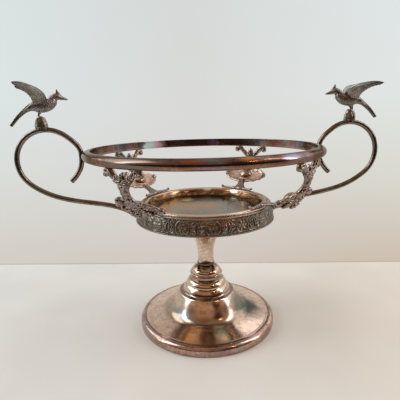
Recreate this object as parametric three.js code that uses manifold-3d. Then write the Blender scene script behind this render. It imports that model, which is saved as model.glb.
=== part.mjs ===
// Brides basket: a silver-plated stand that carries a bowl in a ring, with two looped handles and birds.
// Millimetres, +Z up. The origin is the middle of the foot on the table, and the handles lie along X.

import * as THREE from 'three';
import { mergeVertices } from 'three/addons/utils/BufferGeometryUtils.js';
import Module from 'manifold-3d';

const wasm = await Module();
wasm.setup();

// General sizes
const seat = 0.3; // gap left between two pieces that touch
const sheet = 1.2; // thickness of the spun and stamped sheet metal

// Bowl ring: a D-section hoop, flat inside and convex outside
const ringRadius = 115;
const ringDepth = 7.5;
const ringHeight = 9;
const ringLand = 2.2; // flat on top of the ring, where the bowl rests

// Foot: a spun bell of three steps on a wide flange, with a half-round border
const footRadius = 71;
const footHeight = 62.4;
const footBorderHeight = 9.2;
const footBorderWidth = 5.4; // from the outside to the joint with the flange
const footLedge = 3.6; // border under the flange's edge
const crownRadius = 8.2;
const crownEdgeRadius = 14.2; // crease under the crown
const crownEdgeHeight = 53;
const upperStepRadius = 16; // bead under the crown
const upperStepHeight = 48.3;
const shoulderRadius = 21; // where the hollow under the bead turns over
const shoulderHeight = 43.2;
const lowerStepRadius = 27.2;
const lowerStepHeight = 34.8;
const stepWidth = 1.1;
const bellRadius = 46; // where the bell runs out into the flange
const bellRunoutHeight = 12.9;
const flangeEdgeHeight = 9.7;

// Stem: a collar and a trumpet that widens up to the dish
const collarRadius = 9;
const collarHeight = 2.6;
const stemRadius = 8; // at the waist
const stemFootRadius = 8.6;
const stemMouthRadius = 25;
const stemLength = 58.2;

// Tie rod: the rod, boss, washer and nut that clamp dish, stem and foot together
const tieRodDiameter = 5;
const tieRodClearance = 0.4;
const tieRodEnd = 11.5; // rod below the foot's crown
const bossRadius = 8;
const bossHeight = 6;
const washerRadius = 7.4;
const washerThickness = 1.8;
const nutAcrossFlats = 9.5;
const nutHeight = 4.6;

// Dish: a shallow tray with a raised flange
const dishRadius = 64.5;
const dishDepth = 6.3;
const dishFloorRadius = 47;
const dishMouthRadius = 57;
const dishWallRun = 3; // from the mouth in to the foot of the wall
const flangeCrest = 0.5; // rise of the flange between its edges

// Apron: the stamped gallery that hangs under the dish's flange
const apronReach = 1.1; // from the dish's edge out to the top of the apron
const apronFlare = 4.1; // from the top of the apron out to its bottom
const apronHeight = 15.6;
const apronBead = 1.5;

// Supports: two mirrored pairs of castings between the dish's flange and the ring. In degrees, turned is
// where each one stands, and shortLeg how far its shorter leg reaches along the flange from its middle.
const supportPlaces = {
  support_back_right: { turned: 51.5, shortLeg: 12.5 },
  support_back_left: { turned: 138, shortLeg: 12.5 },
  support_front_left: { turned: 229.5, shortLeg: 0 },
  support_front_right: { turned: 316.5, shortLeg: 12.5 },
};
const supportRise = 45.4; // from the dish's flange to the underside of the ring
const plateWidth = 50;
const plateLength = 24; // up the slope
const plateTilt = 37; // degrees from level
const plateBulge = 5.6; // depth of the rounded outer face
const plateHollow = 1.2; // depth of the dished inner face
const plateEdge = 2;
const plateLobes = 9;
const plateReach = 28.2; // from the dish's edge to the plate's middle
const plateLift = 12.4; // from the flange to the plate's middle
const bossWidth = 14.4;
const bossLength = 11;
const bossDepth = 5; // above the plate's middle
const stemWidth = 8.4; // where the stem is slimmest
const stemThickness = 5.4;
const forkWidth = 29; // between the tops of the arms
const forkDrop = 9.5; // from the ring down to the fork's floor
const armThickness = 4.2;
const scrollRadius = 2.6;
const scrollLength = 5.2;
const scrollDrop = 4.4; // from the ring down to the scroll's middle
const budDrop = 6.4;
const neckWidth = 9;
const neckTurn = 7; // degrees along the flange from the support's middle, toward the handle
const legThickness = 2.8;
const longLeg = 23; // degrees along the flange from the support's middle
const berryRadius = 2.9;
const leafRadius = 3.7; // leaf behind the foot of the stem
const leafOffset = 10; // from the support's middle to the leaf's, toward the handle

// Handles: round rod, bent in the plane through the axis
const rodDiameter = 5;
const loopRadius = 29.2;
const loopOffset = 33.5; // from the outside of the ring to the loop's middle
const loopDrop = 5.5; // from the ring's middle down to the loop's middle
const curlDrop = 26.2; // from the ring's middle down to the curl's cut end
const curlReach = 11.6; // from the ring contact out to the curl's cut end
const tailRise = 2.6; // the tail's joint, above the bottom edge of the apron
const loopStart = 128; // degrees round the loop, where the curl runs into it
const loopEnd = -50; // degrees round the loop, where the tail leaves it

// Birds and the stumps that they stand on
const leftPerch = 151.3; // from the axis
const rightPerch = 148;
const leftYaw = 18; // degrees that each bird is turned from facing the axis
const rightYaw = -5;
const leftWingFall = 0; // degrees that each bird's wings are let down about their roots
const rightWingFall = 16;
const perchHeight = 9.1;
const perchLength = 12.6;
const perchWidth = 9;
const birdLength = 51.2; // from the beak's tip to the tail's
const legGap = 3.4; // between the middles of the legs
const wingThickness = 1.5;
const wingRoot = 3.4; // sideways, from the bird's middle plane to the wing's root
const wingSpread = 20; // sideways, from the bird's middle plane to the wing's tip

// Facets
const roundFacets = 32;
const ringFacets = 44;
const stemFacets = 20;
const innerFacets = 16;
const meshTolerance = 0.2;
const rodSides = 8;
const rodSteps = 42;

// Heights that follow from the sizes above
const collarBottom = footHeight + seat;
const stemBottom = collarBottom + collarHeight + seat;
const dishUnder = stemBottom + stemLength + seat;
const dishFloor = dishUnder + sheet;
const flangeTop = dishFloor + dishDepth;
const ringBottom = flangeTop + supportRise;
const ringTop = ringBottom + ringHeight;
const ringMiddle = ringBottom + ringHeight / 2;
const apronTop = flangeTop - sheet - seat;
const apronBottom = apronTop - apronHeight;
const apronTopRadius = dishRadius + apronReach;
const apronBottomRadius = apronTopRadius + apronFlare;
const plateRadius = dishRadius + plateReach;
const plateMiddle = flangeTop + plateLift;
const stemLine = ringRadius - ringDepth; // radius of the middle of the supports' stems
const rodRadius = rodDiameter / 2;
const loopCentre = ringRadius + loopOffset;
const loopMiddle = ringMiddle - loopDrop;
const perchBase = loopMiddle + loopRadius + rodRadius;
const rodHole = tieRodDiameter / 2 + tieRodClearance;

// Finishes
function silver(color, roughness) {
  return new THREE.MeshStandardMaterial({ color, roughness, metalness: 1 });
}
const finishes = {
  foot: silver(0xb49480, 0.16),
  border: silver(0x8a6a5c, 0.22),
  stem: silver(0xc2a285, 0.2),
  dish: silver(0xa1887a, 0.2),
  apron: silver(0x84705f, 0.42),
  ring: silver(0x94786c, 0.14),
  casting: silver(0x8b7568, 0.4),
  rod: silver(0x6b5c50, 0.26),
  bird: silver(0x5f554c, 0.42),
  inner: silver(0x9a8f80, 0.5),
};

// Solids and meshes
function toSolid(geometry) {
  const bare = geometry.clone();
  bare.deleteAttribute('normal');
  bare.deleteAttribute('uv');
  const merged = mergeVertices(bare, 1e-4);
  const vertProperties = Float32Array.from(merged.attributes.position.array);
  const triVerts = Uint32Array.from(merged.index.array);
  return new wasm.Manifold(new wasm.Mesh({ numProp: 3, vertProperties, triVerts }));
}

function toGeometry(solid) {
  const mesh = solid.getMesh();
  const geometry = new THREE.BufferGeometry();
  geometry.setAttribute('position', new THREE.BufferAttribute(Float32Array.from(mesh.vertProperties), 3));
  geometry.setIndex(new THREE.BufferAttribute(Uint32Array.from(mesh.triVerts), 1));
  geometry.computeVertexNormals();
  return geometry;
}

function join(geometries) {
  return geometries.map(toSolid).reduce((whole, next) => whole.add(next));
}

function named(name, geometry, finish) {
  const mesh = new THREE.Mesh(geometry, finish);
  mesh.name = name;
  return mesh;
}

// A closed outline of radius and height, turned about Z. It runs up the outside and down the inside.
function turn(outline, facets) {
  const points = outline.map(([radius, height]) => new THREE.Vector2(radius, height));
  points.push(points[0].clone());
  const geometry = new THREE.LatheGeometry(points, facets);
  return geometry.rotateX(Math.PI / 2);
}

// The points of a drawn path, as pairs
function pathPoints(path, divisions) {
  return path.getPoints(divisions).map((point) => [point.x, point.y]);
}

// A sheet of even thickness under a drawn outline: the outline itself, then its offset on the way back
function thicken(outline, thickness) {
  const inner = outline.map(([radius, height], index) => {
    const before = outline[Math.max(index - 1, 0)];
    const after = outline[Math.min(index + 1, outline.length - 1)];
    const run = Math.hypot(after[0] - before[0], after[1] - before[1]);
    const outward = [(after[1] - before[1]) / run, -(after[0] - before[0]) / run];
    return [radius - outward[0] * thickness, height - outward[1] * thickness];
  });
  return [...outline, ...inner.reverse()];
}

// A body of oval sections along a smooth spine. Each station gives its place and its half sizes,
// first along the sideways direction and then square to it.
function loft(stations, sides, steps, sideways) {
  const spine = new THREE.CatmullRomCurve3(stations.map(({ at }) => new THREE.Vector3(...at)));
  const halves = new THREE.CatmullRomCurve3(stations.map(({ half }) => new THREE.Vector3(...half, 0)));
  const across = new THREE.Vector3(...sideways);
  const positions = [];
  const indices = [];
  for (let step = 0; step <= steps; step += 1) {
    const along = step / steps;
    const centre = spine.getPoint(along);
    const tangent = spine.getTangent(along);
    const half = halves.getPoint(along);
    const side = across.clone().addScaledVector(tangent, -across.dot(tangent)).normalize();
    const up = tangent.clone().cross(side);
    for (let corner = 0; corner < sides; corner += 1) {
      const angle = (corner / sides) * Math.PI * 2;
      const point = centre.clone();
      point.addScaledVector(side, Math.cos(angle) * half.x).addScaledVector(up, Math.sin(angle) * half.y);
      positions.push(point.x, point.y, point.z);
    }
  }
  for (let step = 0; step < steps; step += 1) {
    for (let corner = 0; corner < sides; corner += 1) {
      const next = (corner + 1) % sides;
      const low = step * sides;
      const high = low + sides;
      indices.push(low + corner, low + next, high + next, low + corner, high + next, high + corner);
    }
  }
  const last = steps * sides;
  for (let corner = 1; corner < sides - 1; corner += 1) {
    indices.push(0, corner + 1, corner, last, last + corner, last + corner + 1);
  }
  const geometry = new THREE.BufferGeometry();
  geometry.setAttribute('position', new THREE.Float32BufferAttribute(positions, 3));
  geometry.setIndex(indices);
  return geometry;
}

// A round or oval ball
function ball(centre, radii, columns, rows) {
  const geometry = new THREE.SphereGeometry(1, columns, rows);
  return geometry.scale(...radii).translate(...centre);
}

// Foot. The inside is plainer than the outside: it has no bead, and a straight run under it.
function footOutline(outside, divisions) {
  const path = new THREE.Path();
  path.moveTo(footRadius - footBorderWidth - seat, flangeEdgeHeight);
  path.lineTo(bellRadius, bellRunoutHeight);
  const bellTop = lowerStepRadius + stepWidth;
  const bellTopHeight = lowerStepHeight - stepWidth;
  const bellFall = bellTopHeight - bellRunoutHeight;
  path.bezierCurveTo(
    bellRadius - (bellRadius - bellTop) * 0.6,
    bellRunoutHeight + bellFall * 0.1,
    bellTop + (bellRadius - bellTop) * 0.38,
    bellTopHeight - bellFall * 0.37,
    bellTop,
    bellTopHeight,
  );
  path.lineTo(lowerStepRadius, lowerStepHeight);
  if (outside) {
    path.quadraticCurveTo(
      lowerStepRadius - (lowerStepRadius - shoulderRadius) * 0.29,
      (lowerStepHeight + shoulderHeight) / 2,
      shoulderRadius,
      shoulderHeight,
    );
    path.quadraticCurveTo(
      upperStepRadius + (shoulderRadius - upperStepRadius) * 0.38,
      upperStepHeight - (upperStepHeight - shoulderHeight) * 0.6,
      upperStepRadius,
      upperStepHeight,
    );
    path.quadraticCurveTo(
      upperStepRadius * 1.05,
      (upperStepHeight + crownEdgeHeight) / 2,
      (upperStepRadius + crownEdgeRadius) / 2,
      crownEdgeHeight,
    );
  } else {
    path.lineTo(upperStepRadius, upperStepHeight);
  }
  path.lineTo(crownEdgeRadius, crownEdgeHeight);
  path.quadraticCurveTo(
    crownRadius + (crownEdgeRadius - crownRadius) * 0.78,
    crownEdgeHeight + (footHeight - crownEdgeHeight) * 0.56,
    crownRadius,
    footHeight,
  );
  path.lineTo(rodHole, footHeight);
  return pathPoints(path, divisions);
}

function footShell() {
  const inside = thicken(footOutline(false, 2), sheet).slice(-footOutline(false, 2).length);
  return turn([...footOutline(true, 3), ...inside], roundFacets);
}

function footBorder() {
  const joint = footRadius - footBorderWidth;
  const ledge = flangeEdgeHeight - sheet - seat;
  const bead = footBorderHeight / 2;
  const path = new THREE.Path();
  path.moveTo(joint - footLedge, 0);
  path.lineTo(footRadius, 0);
  path.lineTo(footRadius, bead);
  const [beadWidth, beadRise] = [footBorderWidth - seat, footBorderHeight - bead];
  path.absellipse(joint + seat, bead, beadWidth, beadRise, 0, Math.PI / 2, false, 0);
  path.lineTo(joint, footBorderHeight);
  path.lineTo(joint, ledge);
  path.lineTo(joint - footLedge, ledge);
  return turn(pathPoints(path, 2), roundFacets);
}

// Stem
function collar() {
  const middle = collarBottom + collarHeight / 2;
  const path = new THREE.Path();
  path.moveTo(rodHole, collarBottom);
  path.lineTo(collarRadius - collarHeight / 2, collarBottom);
  path.absarc(collarRadius - collarHeight / 2, middle, collarHeight / 2, -Math.PI / 2, Math.PI / 2, false);
  path.lineTo(rodHole, collarBottom + collarHeight);
  return turn(pathPoints(path, 2), stemFacets);
}

function stemOutline() {
  const top = stemBottom + stemLength;
  const waist = stemBottom + stemLength * 0.1;
  const path = new THREE.Path();
  path.moveTo(stemFootRadius, stemBottom);
  path.quadraticCurveTo(stemRadius, stemBottom + stemLength * 0.04, stemRadius, waist);
  path.bezierCurveTo(
    stemRadius,
    waist + (top - waist) * 0.3,
    stemRadius + (stemMouthRadius - stemRadius) * 0.46,
    waist + (top - waist) * 0.56,
    stemMouthRadius,
    top,
  );
  return pathPoints(path, 3);
}

function stemTrumpet() {
  const outside = stemOutline();
  const inside = outside.map(([radius, height]) => [radius - sheet, height]).reverse();
  return turn([...outside, ...inside], stemFacets);
}

// Tie rod and what it holds with
function tieBoss() {
  const top = dishUnder - seat;
  const hole = top - sheet;
  const bottom = top - bossHeight;
  const wall = [[rodHole, bottom], [bossRadius, bottom], [bossRadius, top], [0, top]];
  return turn([...wall, [0, hole], [rodHole, hole]], innerFacets);
}

function tieRod() {
  const top = dishUnder - seat - sheet - seat;
  const bottom = footHeight - sheet - tieRodEnd;
  const geometry = new THREE.CylinderGeometry(tieRodDiameter / 2, tieRodDiameter / 2, top - bottom, 12);
  return geometry.rotateX(Math.PI / 2).translate(0, 0, (top + bottom) / 2);
}

function disc(outer, bottom, top, facets) {
  return turn([[rodHole, bottom], [outer, bottom], [outer, top], [rodHole, top]], facets);
}

function tieWasher() {
  const top = footHeight - sheet - seat;
  return disc(washerRadius, top - washerThickness, top, innerFacets);
}

function tieNut() {
  const top = footHeight - sheet - seat - washerThickness - seat;
  const corner = nutAcrossFlats / 2 / Math.cos(Math.PI / 6);
  const outline = new THREE.Shape();
  for (let index = 0; index < 6; index += 1) {
    const angle = (index / 6) * Math.PI * 2;
    outline[index === 0 ? 'moveTo' : 'lineTo'](corner * Math.cos(angle), corner * Math.sin(angle));
  }
  const hole = new THREE.Path();
  hole.absarc(0, 0, rodHole, 0, Math.PI * 2, true);
  outline.holes.push(hole);
  const block = { depth: nutHeight, bevelEnabled: false, curveSegments: 6 };
  return new THREE.ExtrudeGeometry(outline, block).translate(0, 0, top - nutHeight);
}

// Dish
function dishOutline() {
  const crest = (dishRadius + dishMouthRadius) / 2;
  const path = new THREE.Path();
  path.moveTo(dishRadius, flangeTop - sheet);
  path.lineTo(dishRadius, flangeTop - sheet / 3);
  path.lineTo(dishRadius - sheet, flangeTop);
  path.lineTo(crest, flangeTop + flangeCrest);
  path.lineTo(dishMouthRadius + sheet, flangeTop);
  path.bezierCurveTo(
    dishMouthRadius - dishWallRun / 3,
    flangeTop,
    dishMouthRadius - dishWallRun / 3,
    dishFloor + dishDepth * 0.5,
    dishMouthRadius - dishWallRun,
    dishFloor + dishDepth * 0.36,
  );
  path.quadraticCurveTo(dishMouthRadius - dishWallRun * 2, dishFloor, dishFloorRadius, dishFloor);
  path.lineTo(0, dishFloor);
  return pathPoints(path, 2);
}

function dish() {
  const top = dishOutline();
  const under = top
    .slice(3)
    .map(([radius, height]) => [Math.max(radius, 0), height - sheet])
    .reverse();
  return turn([...under, ...top], roundFacets);
}

// Apron
function apronOutline(grow) {
  const path = new THREE.Path();
  const topBead = apronTop - apronBead;
  const bottomBead = apronBottom + apronBead;
  path.moveTo(apronBottomRadius + grow, apronBottom);
  path.lineTo(apronBottomRadius + grow, bottomBead - apronBead / 3);
  path.lineTo(apronBottomRadius - apronBead / 3 + grow, bottomBead);
  path.quadraticCurveTo(
    apronBottomRadius - apronBead * 0.4 + grow,
    (topBead + bottomBead) / 2,
    apronTopRadius + grow,
    topBead,
  );
  path.lineTo(apronTopRadius + apronBead / 2 + grow, topBead + apronBead / 3);
  path.lineTo(apronTopRadius + apronBead / 2 + grow, apronTop - apronBead / 3);
  path.lineTo(apronTopRadius + grow, apronTop);
  return pathPoints(path, 2);
}

function apron() {
  return turn([...apronOutline(0), ...apronOutline(-sheet).reverse()], roundFacets);
}

// Ring
function ringOutline(grow) {
  const inner = ringRadius - ringDepth;
  const bulge = ringDepth - ringLand;
  const path = new THREE.Path();
  path.moveTo(inner - grow, ringBottom - grow);
  path.lineTo(inner + ringLand, ringBottom - grow);
  path.absellipse(
    inner + ringLand, ringMiddle, bulge + grow, ringHeight / 2 + grow, -Math.PI / 2, Math.PI / 2, false, 0,
  );
  path.lineTo(inner - grow, ringTop + grow);
  return pathPoints(path, 3);
}

function bowlRing() {
  return turn(ringOutline(0), ringFacets);
}

// Supports. Each is drawn with its middle plane through +X, and turned to its place afterwards.
function leafPlate() {
  const geometry = new THREE.SphereGeometry(1, plateLobes * 2, 6);
  const place = geometry.attributes.position;
  for (let index = 0; index < place.count; index += 1) {
    const across = place.getX(index);
    const along = place.getZ(index);
    const reach = Math.min(Math.hypot(across, along), 1);
    const lobe = 1 + 0.045 * Math.cos(plateLobes * Math.atan2(across, along)) * reach;
    const hollow = 1 - reach * reach;
    const rim = (plateEdge / 2) * Math.min(1, 3 * Math.sqrt(hollow));
    const above = place.getY(index) >= 0;
    const height = above ? rim - plateHollow * hollow : -rim - plateBulge * hollow ** 3;
    place.setXYZ(index, (along * lobe * plateLength) / 2, (across * lobe * plateWidth) / 2, height);
  }
  geometry.rotateY(THREE.MathUtils.degToRad(-plateTilt));
  return geometry.translate(plateRadius, 0, plateMiddle);
}

function platePoint(along, across, above) {
  const tilt = THREE.MathUtils.degToRad(plateTilt);
  const radius = plateRadius + along * Math.cos(tilt) - above * Math.sin(tilt);
  const height = plateMiddle + along * Math.sin(tilt) + above * Math.cos(tilt);
  return [radius, across, height];
}

function supportStem() {
  const thick = stemThickness / 2;
  const [footX, , footZ] = platePoint(plateLength * 0.3, 0, -plateEdge);
  const rise = ringBottom - forkDrop - footZ;
  const run = stemLine - footX;
  return loft(
    [
      { at: [footX, 0, footZ], half: [stemWidth * 0.85, thick * 1.1] },
      { at: [footX + run * 0.55, 0, footZ + rise * 0.28], half: [stemWidth * 0.52, thick] },
      { at: [footX + run * 0.92, 0, footZ + rise * 0.62], half: [stemWidth * 0.54, thick] },
      { at: [stemLine, 0, footZ + rise], half: [stemWidth * 1.02, thick * 0.94] },
    ],
    8,
    4,
    [0, 1, 0],
  );
}

function supportArm(side) {
  const thick = armThickness / 2;
  const half = forkWidth / 2;
  const station = (across, drop, size) => ({
    at: [stemLine, side * across, ringBottom - drop],
    half: [thick * 1.2, thick * size],
  });
  return loft(
    [
      station(half * 0.35, forkDrop * 1.15, 0.9),
      station(half * 0.62, forkDrop * 0.68, 1),
      station(half, thick * 0.5, 1),
      station(half + scrollRadius * 1.5, thick * 1.1, 0.8),
      station(half + scrollRadius * 1.9, scrollDrop, 0.6),
    ],
    5,
    4,
    [1, 0, 0],
  );
}

function scroll(side) {
  const geometry = new THREE.CylinderGeometry(scrollRadius, scrollRadius, scrollLength, 7);
  geometry.rotateZ(Math.PI / 2);
  return geometry.translate(stemLine, side * (forkWidth / 2 + scrollRadius * 1.1), ringBottom - scrollDrop);
}

function flangePlace(degrees, lift, inset) {
  const angle = THREE.MathUtils.degToRad(degrees);
  const reach = dishRadius - inset;
  return [reach * Math.cos(angle), reach * Math.sin(angle), flangeTop + flangeCrest + lift];
}

function supportNeck() {
  const thick = legThickness / 2;
  const top = platePoint(-plateLength * 0.4, 0, -plateEdge / 2);
  const foot = flangePlace(neckTurn, thick, legThickness);
  const middle = top.map((value, index) => (value + foot[index]) / 2);
  return loft(
    [
      { at: top, half: [neckWidth * 0.46, thick * 1.2] },
      { at: middle, half: [neckWidth * 0.48, thick] },
      { at: foot, half: [neckWidth * 0.75, thick] },
    ],
    6,
    2,
    [0, 1, 0],
  );
}

function supportLeg(end) {
  const thick = legThickness / 2;
  const turned = (share) => neckTurn + (end - neckTurn) * share;
  return loft(
    [
      { at: flangePlace(neckTurn, thick, legThickness), half: [thick, thick * 1.5] },
      { at: flangePlace(turned(0.55), thick * 0.8, thick * 1.2), half: [thick * 0.9, thick * 1.2] },
      { at: flangePlace(turned(0.9), thick * 0.8, thick * 1.2), half: [thick * 0.8, thick] },
      { at: flangePlace(turned(1), thick * 1.8, thick * 1.2), half: [thick * 0.8, thick * 0.7] },
    ],
    4,
    4,
    [0, 0, 1],
  );
}

function support(shortLeg) {
  const berry = [berryRadius, berryRadius, berryRadius];
  const leaf = [leafRadius, leafRadius, leafRadius];
  const bud = [armThickness * 0.5, armThickness * 0.62, armThickness];
  const pieces = [
    leafPlate(),
    supportStem(),
    supportNeck(),
    supportLeg(-shortLeg),
    supportLeg(longLeg),
    ball(platePoint(0, 0, 0), [bossLength / 2, bossWidth / 2, bossDepth], 8, 5),
    ball([stemLine, 0, ringBottom - budDrop], bud, 6, 4),
    ball(platePoint(plateLength * 0.54, leafOffset, -leafRadius * 0.4), leaf, 6, 5),
  ];
  for (const side of [-1, 1]) {
    pieces.push(supportArm(side), scroll(side));
    pieces.push(ball(platePoint(0, side * (plateWidth / 2 - berryRadius / 2), 0), berry, 6, 4));
  }
  const ringRoom = toSolid(turn(ringOutline(seat), ringFacets));
  const flangeRoom = toSolid(
    disc(dishRadius + seat, flangeTop - sheet * 2, flangeTop + flangeCrest + seat, roundFacets),
  );
  return join(pieces).subtract(ringRoom).subtract(flangeRoom).simplify(meshTolerance);
}

// Handles
function handlePath() {
  const contact = ringRadius + seat + rodRadius;
  const start = THREE.MathUtils.degToRad(loopStart);
  const end = THREE.MathUtils.degToRad(loopEnd);
  const entry = [loopCentre + loopRadius * Math.cos(start), loopMiddle + loopRadius * Math.sin(start)];
  const exit = [loopCentre + loopRadius * Math.cos(end), loopMiddle + loopRadius * Math.sin(end)];
  const joint = [apronBottomRadius - apronBead, apronBottom + tailRise];
  const path = new THREE.Path();
  path.moveTo(contact + curlReach, ringMiddle - curlDrop);
  path.bezierCurveTo(
    contact + curlReach * 0.5, ringMiddle - curlDrop * 0.8,
    contact, ringMiddle - curlDrop * 0.52,
    contact, ringMiddle - ringHeight / 2,
  );
  path.lineTo(contact, ringMiddle);
  path.bezierCurveTo(
    contact, ringMiddle + loopRadius * 0.27,
    entry[0] - loopRadius * 0.2 * Math.sin(start), entry[1] + loopRadius * 0.2 * Math.cos(start),
    entry[0], entry[1],
  );
  path.absarc(loopCentre, loopMiddle, loopRadius, start, end, true);
  const tail = exit[0] - joint[0];
  path.bezierCurveTo(
    exit[0] + tail * 0.41 * Math.sin(end), exit[1] - tail * 0.41 * Math.cos(end),
    joint[0] + tail * 0.265, joint[1] + tail * 0.22,
    joint[0], joint[1],
  );
  return path.getSpacedPoints(rodSteps).map((point) => new THREE.Vector3(point.x, 0, point.y));
}

function rod(radius) {
  const section = new THREE.Shape();
  section.absarc(0, 0, radius, 0, Math.PI * 2, false);
  const extrudePath = new THREE.CatmullRomCurve3(handlePath());
  return new THREE.ExtrudeGeometry(section, { steps: rodSteps, extrudePath, curveSegments: rodSides / 2 });
}

function handle() {
  const apronRoom = turn([[0, apronBottom - seat], ...apronOutline(seat), [0, apronTop]], roundFacets);
  return toSolid(rod(rodRadius)).subtract(toSolid(apronRoom));
}

// Perches
function perch(distance) {
  const path = new THREE.Path();
  path.moveTo(0, -rodRadius);
  path.lineTo(0.94, -rodRadius);
  path.lineTo(1, 0.3);
  path.quadraticCurveTo(0.98, perchHeight * 0.6, 0.5, perchHeight);
  path.lineTo(0, perchHeight);
  const stump = turn(pathPoints(path, 4), 12);
  stump.scale(perchLength / 2, perchWidth / 2, 1).translate(distance, 0, perchBase);
  return toSolid(stump).subtract(toSolid(rod(rodRadius + seat)));
}

// Birds, drawn facing +X from the ground under their feet, in hundredths of their length
function birdPlace(forward, up) {
  return [(forward * birdLength) / 100, (up * birdLength) / 100];
}

function birdLoft(stations, grow, sides, steps) {
  const full = stations.map(([forward, up, across, deep]) => {
    const [x, z] = birdPlace(forward, up);
    const [halfAcross, halfDeep] = birdPlace(across, deep);
    return { at: [x, 0, z], half: [halfAcross + grow, halfDeep + grow] };
  });
  return loft(full, sides, steps, [0, 1, 0]);
}

function birdTrunk(grow) {
  const stations = [
    [-50, -14, 3, 1.6],
    [-36.3, 1.8, 4.4, 2.9],
    [-22.5, 13.3, 5.3, 4.4],
    [-10.7, 18.6, 7.4, 7.8],
    [1, 18.6, 9.8, 11.7],
    [12.7, 20.5, 10.4, 11.7],
    [21.1, 25.8, 8.8, 9.4],
    [25.2, 32.8, 6.6, 7.2],
    [32, 35.5, 5.7, 5.9],
    [39.1, 33.8, 2.9, 3.1],
    [50, 30.5, 0.8, 0.8],
  ];
  return birdLoft(stations, grow, 8, 15);
}

function birdBody() {
  const crest = birdLoft([[34.4, 36, 2.3, 4.7], [33, 42.8, 1.8, 2.7], [31.8, 49, 1, 1]], 0, 6, 4);
  const pieces = [birdTrunk(0), crest];
  const [legX, legTop] = birdPlace(-2.3, 11.5);
  for (const side of [-1, 1]) {
    const leg = new THREE.CylinderGeometry(legTop * 0.22, legTop * 0.15, legTop - seat, 6);
    pieces.push(leg.rotateX(Math.PI / 2).translate(legX, (side * legGap) / 2, (legTop + seat) / 2));
  }
  return toGeometry(join(pieces));
}

// The wing on the bird's right, a thin blade that leans outward from its root to its tip
function wing(fall) {
  const root = new THREE.Vector2(...birdPlace(2.3, 26.4));
  const tip = new THREE.Vector2(...birdPlace(-37.9, 57.2));
  const outline = new THREE.Shape();
  outline.moveTo(...birdPlace(12.9, 24.2));
  outline.bezierCurveTo(...birdPlace(15.6, 38.9), ...birdPlace(4.7, 49.8), ...birdPlace(-10.9, 54.5));
  outline.bezierCurveTo(...birdPlace(-19.5, 57.6), ...birdPlace(-27.3, 59.6), ...birdPlace(-35.9, 58.2));
  outline.quadraticCurveTo(...birdPlace(-39.8, 56.4), ...birdPlace(-35, 52.9));
  outline.bezierCurveTo(...birdPlace(-26.2, 50.2), ...birdPlace(-17.6, 43.9), ...birdPlace(-14.5, 37.7));
  outline.quadraticCurveTo(...birdPlace(-10.5, 31.1), ...birdPlace(-9.6, 22.3));
  const blade = { depth: wingThickness, bevelEnabled: false, curveSegments: 4 };
  const geometry = new THREE.ExtrudeGeometry(outline, blade);
  const place = geometry.attributes.position;
  const reach = tip.clone().sub(root);
  for (let index = 0; index < place.count; index += 1) {
    const point = new THREE.Vector2(place.getX(index), place.getY(index));
    const share = point.clone().sub(root).dot(reach) / reach.lengthSq();
    const lean = wingRoot + (wingSpread - wingRoot) * share;
    place.setXYZ(index, point.x, -lean - place.getZ(index), point.y);
  }
  geometry.translate(0, wingRoot, -root.y);
  geometry.rotateX(THREE.MathUtils.degToRad(fall)).translate(0, -wingRoot, root.y);
  return toGeometry(toSolid(geometry).subtract(toSolid(birdTrunk(seat))));
}

function bird(side, yaw, fall) {
  const whole = new THREE.Group();
  const rightWing = named(`${side}_bird_right_wing`, wing(fall), finishes.bird);
  const leftWing = named(`${side}_bird_left_wing`, wing(fall), finishes.bird);
  leftWing.scale.y = -1;
  whole.add(named(`${side}_bird_body`, birdBody(), finishes.bird), rightWing, leftWing);
  whole.rotation.z = THREE.MathUtils.degToRad(yaw);
  return whole;
}

// Assembly
const basket = new THREE.Group();

basket.add(named('foot_shell', footShell(), finishes.foot));
basket.add(named('foot_border', footBorder(), finishes.border));
basket.add(named('stem_collar', collar(), finishes.stem));
basket.add(named('stem_trumpet', stemTrumpet(), finishes.stem));
basket.add(named('tie_boss', tieBoss(), finishes.inner));
basket.add(named('tie_rod', tieRod(), finishes.inner));
basket.add(named('tie_washer', tieWasher(), finishes.inner));
basket.add(named('tie_nut', tieNut(), finishes.inner));
basket.add(named('dish', dish(), finishes.dish));
basket.add(named('apron', apron(), finishes.apron));
basket.add(named('bowl_ring', bowlRing(), finishes.ring));

// The castings are drawn with their long leg toward +Y, and mirrored where the handle is on the other side.
for (const [name, { turned, shortLeg }] of Object.entries(supportPlaces)) {
  const mesh = named(name, toGeometry(support(shortLeg)), finishes.casting);
  mesh.rotation.z = THREE.MathUtils.degToRad(turned);
  const handleBehind = Math.sin(2 * mesh.rotation.z) > 0;
  mesh.scale.y = handleBehind ? -1 : 1;
  basket.add(mesh);
}

const handleShape = toGeometry(handle());
const ends = [
  { side: 'right', turned: 0, distance: rightPerch, yaw: 180 + rightYaw, fall: rightWingFall },
  { side: 'left', turned: Math.PI, distance: leftPerch, yaw: leftYaw, fall: leftWingFall },
];
ends.forEach(({ side, turned, distance, yaw, fall }) => {
  const end = new THREE.Group();
  end.rotation.z = turned;
  end.add(named(`${side}_handle`, handleShape, finishes.rod));
  end.add(named(`${side}_perch`, toGeometry(perch(distance)), finishes.bird));
  basket.add(end);
  const whole = bird(side, yaw, fall);
  whole.position.set(distance * Math.cos(turned), 0, perchBase + perchHeight);
  basket.add(whole);
});

export default basket;
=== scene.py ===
"""Brides basket: the finish of every surface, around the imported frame. Sizes are in millimetres."""

import math

import bmesh
import bpy
import numpy as np
from mathutils import Matrix, Vector, noise


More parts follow.
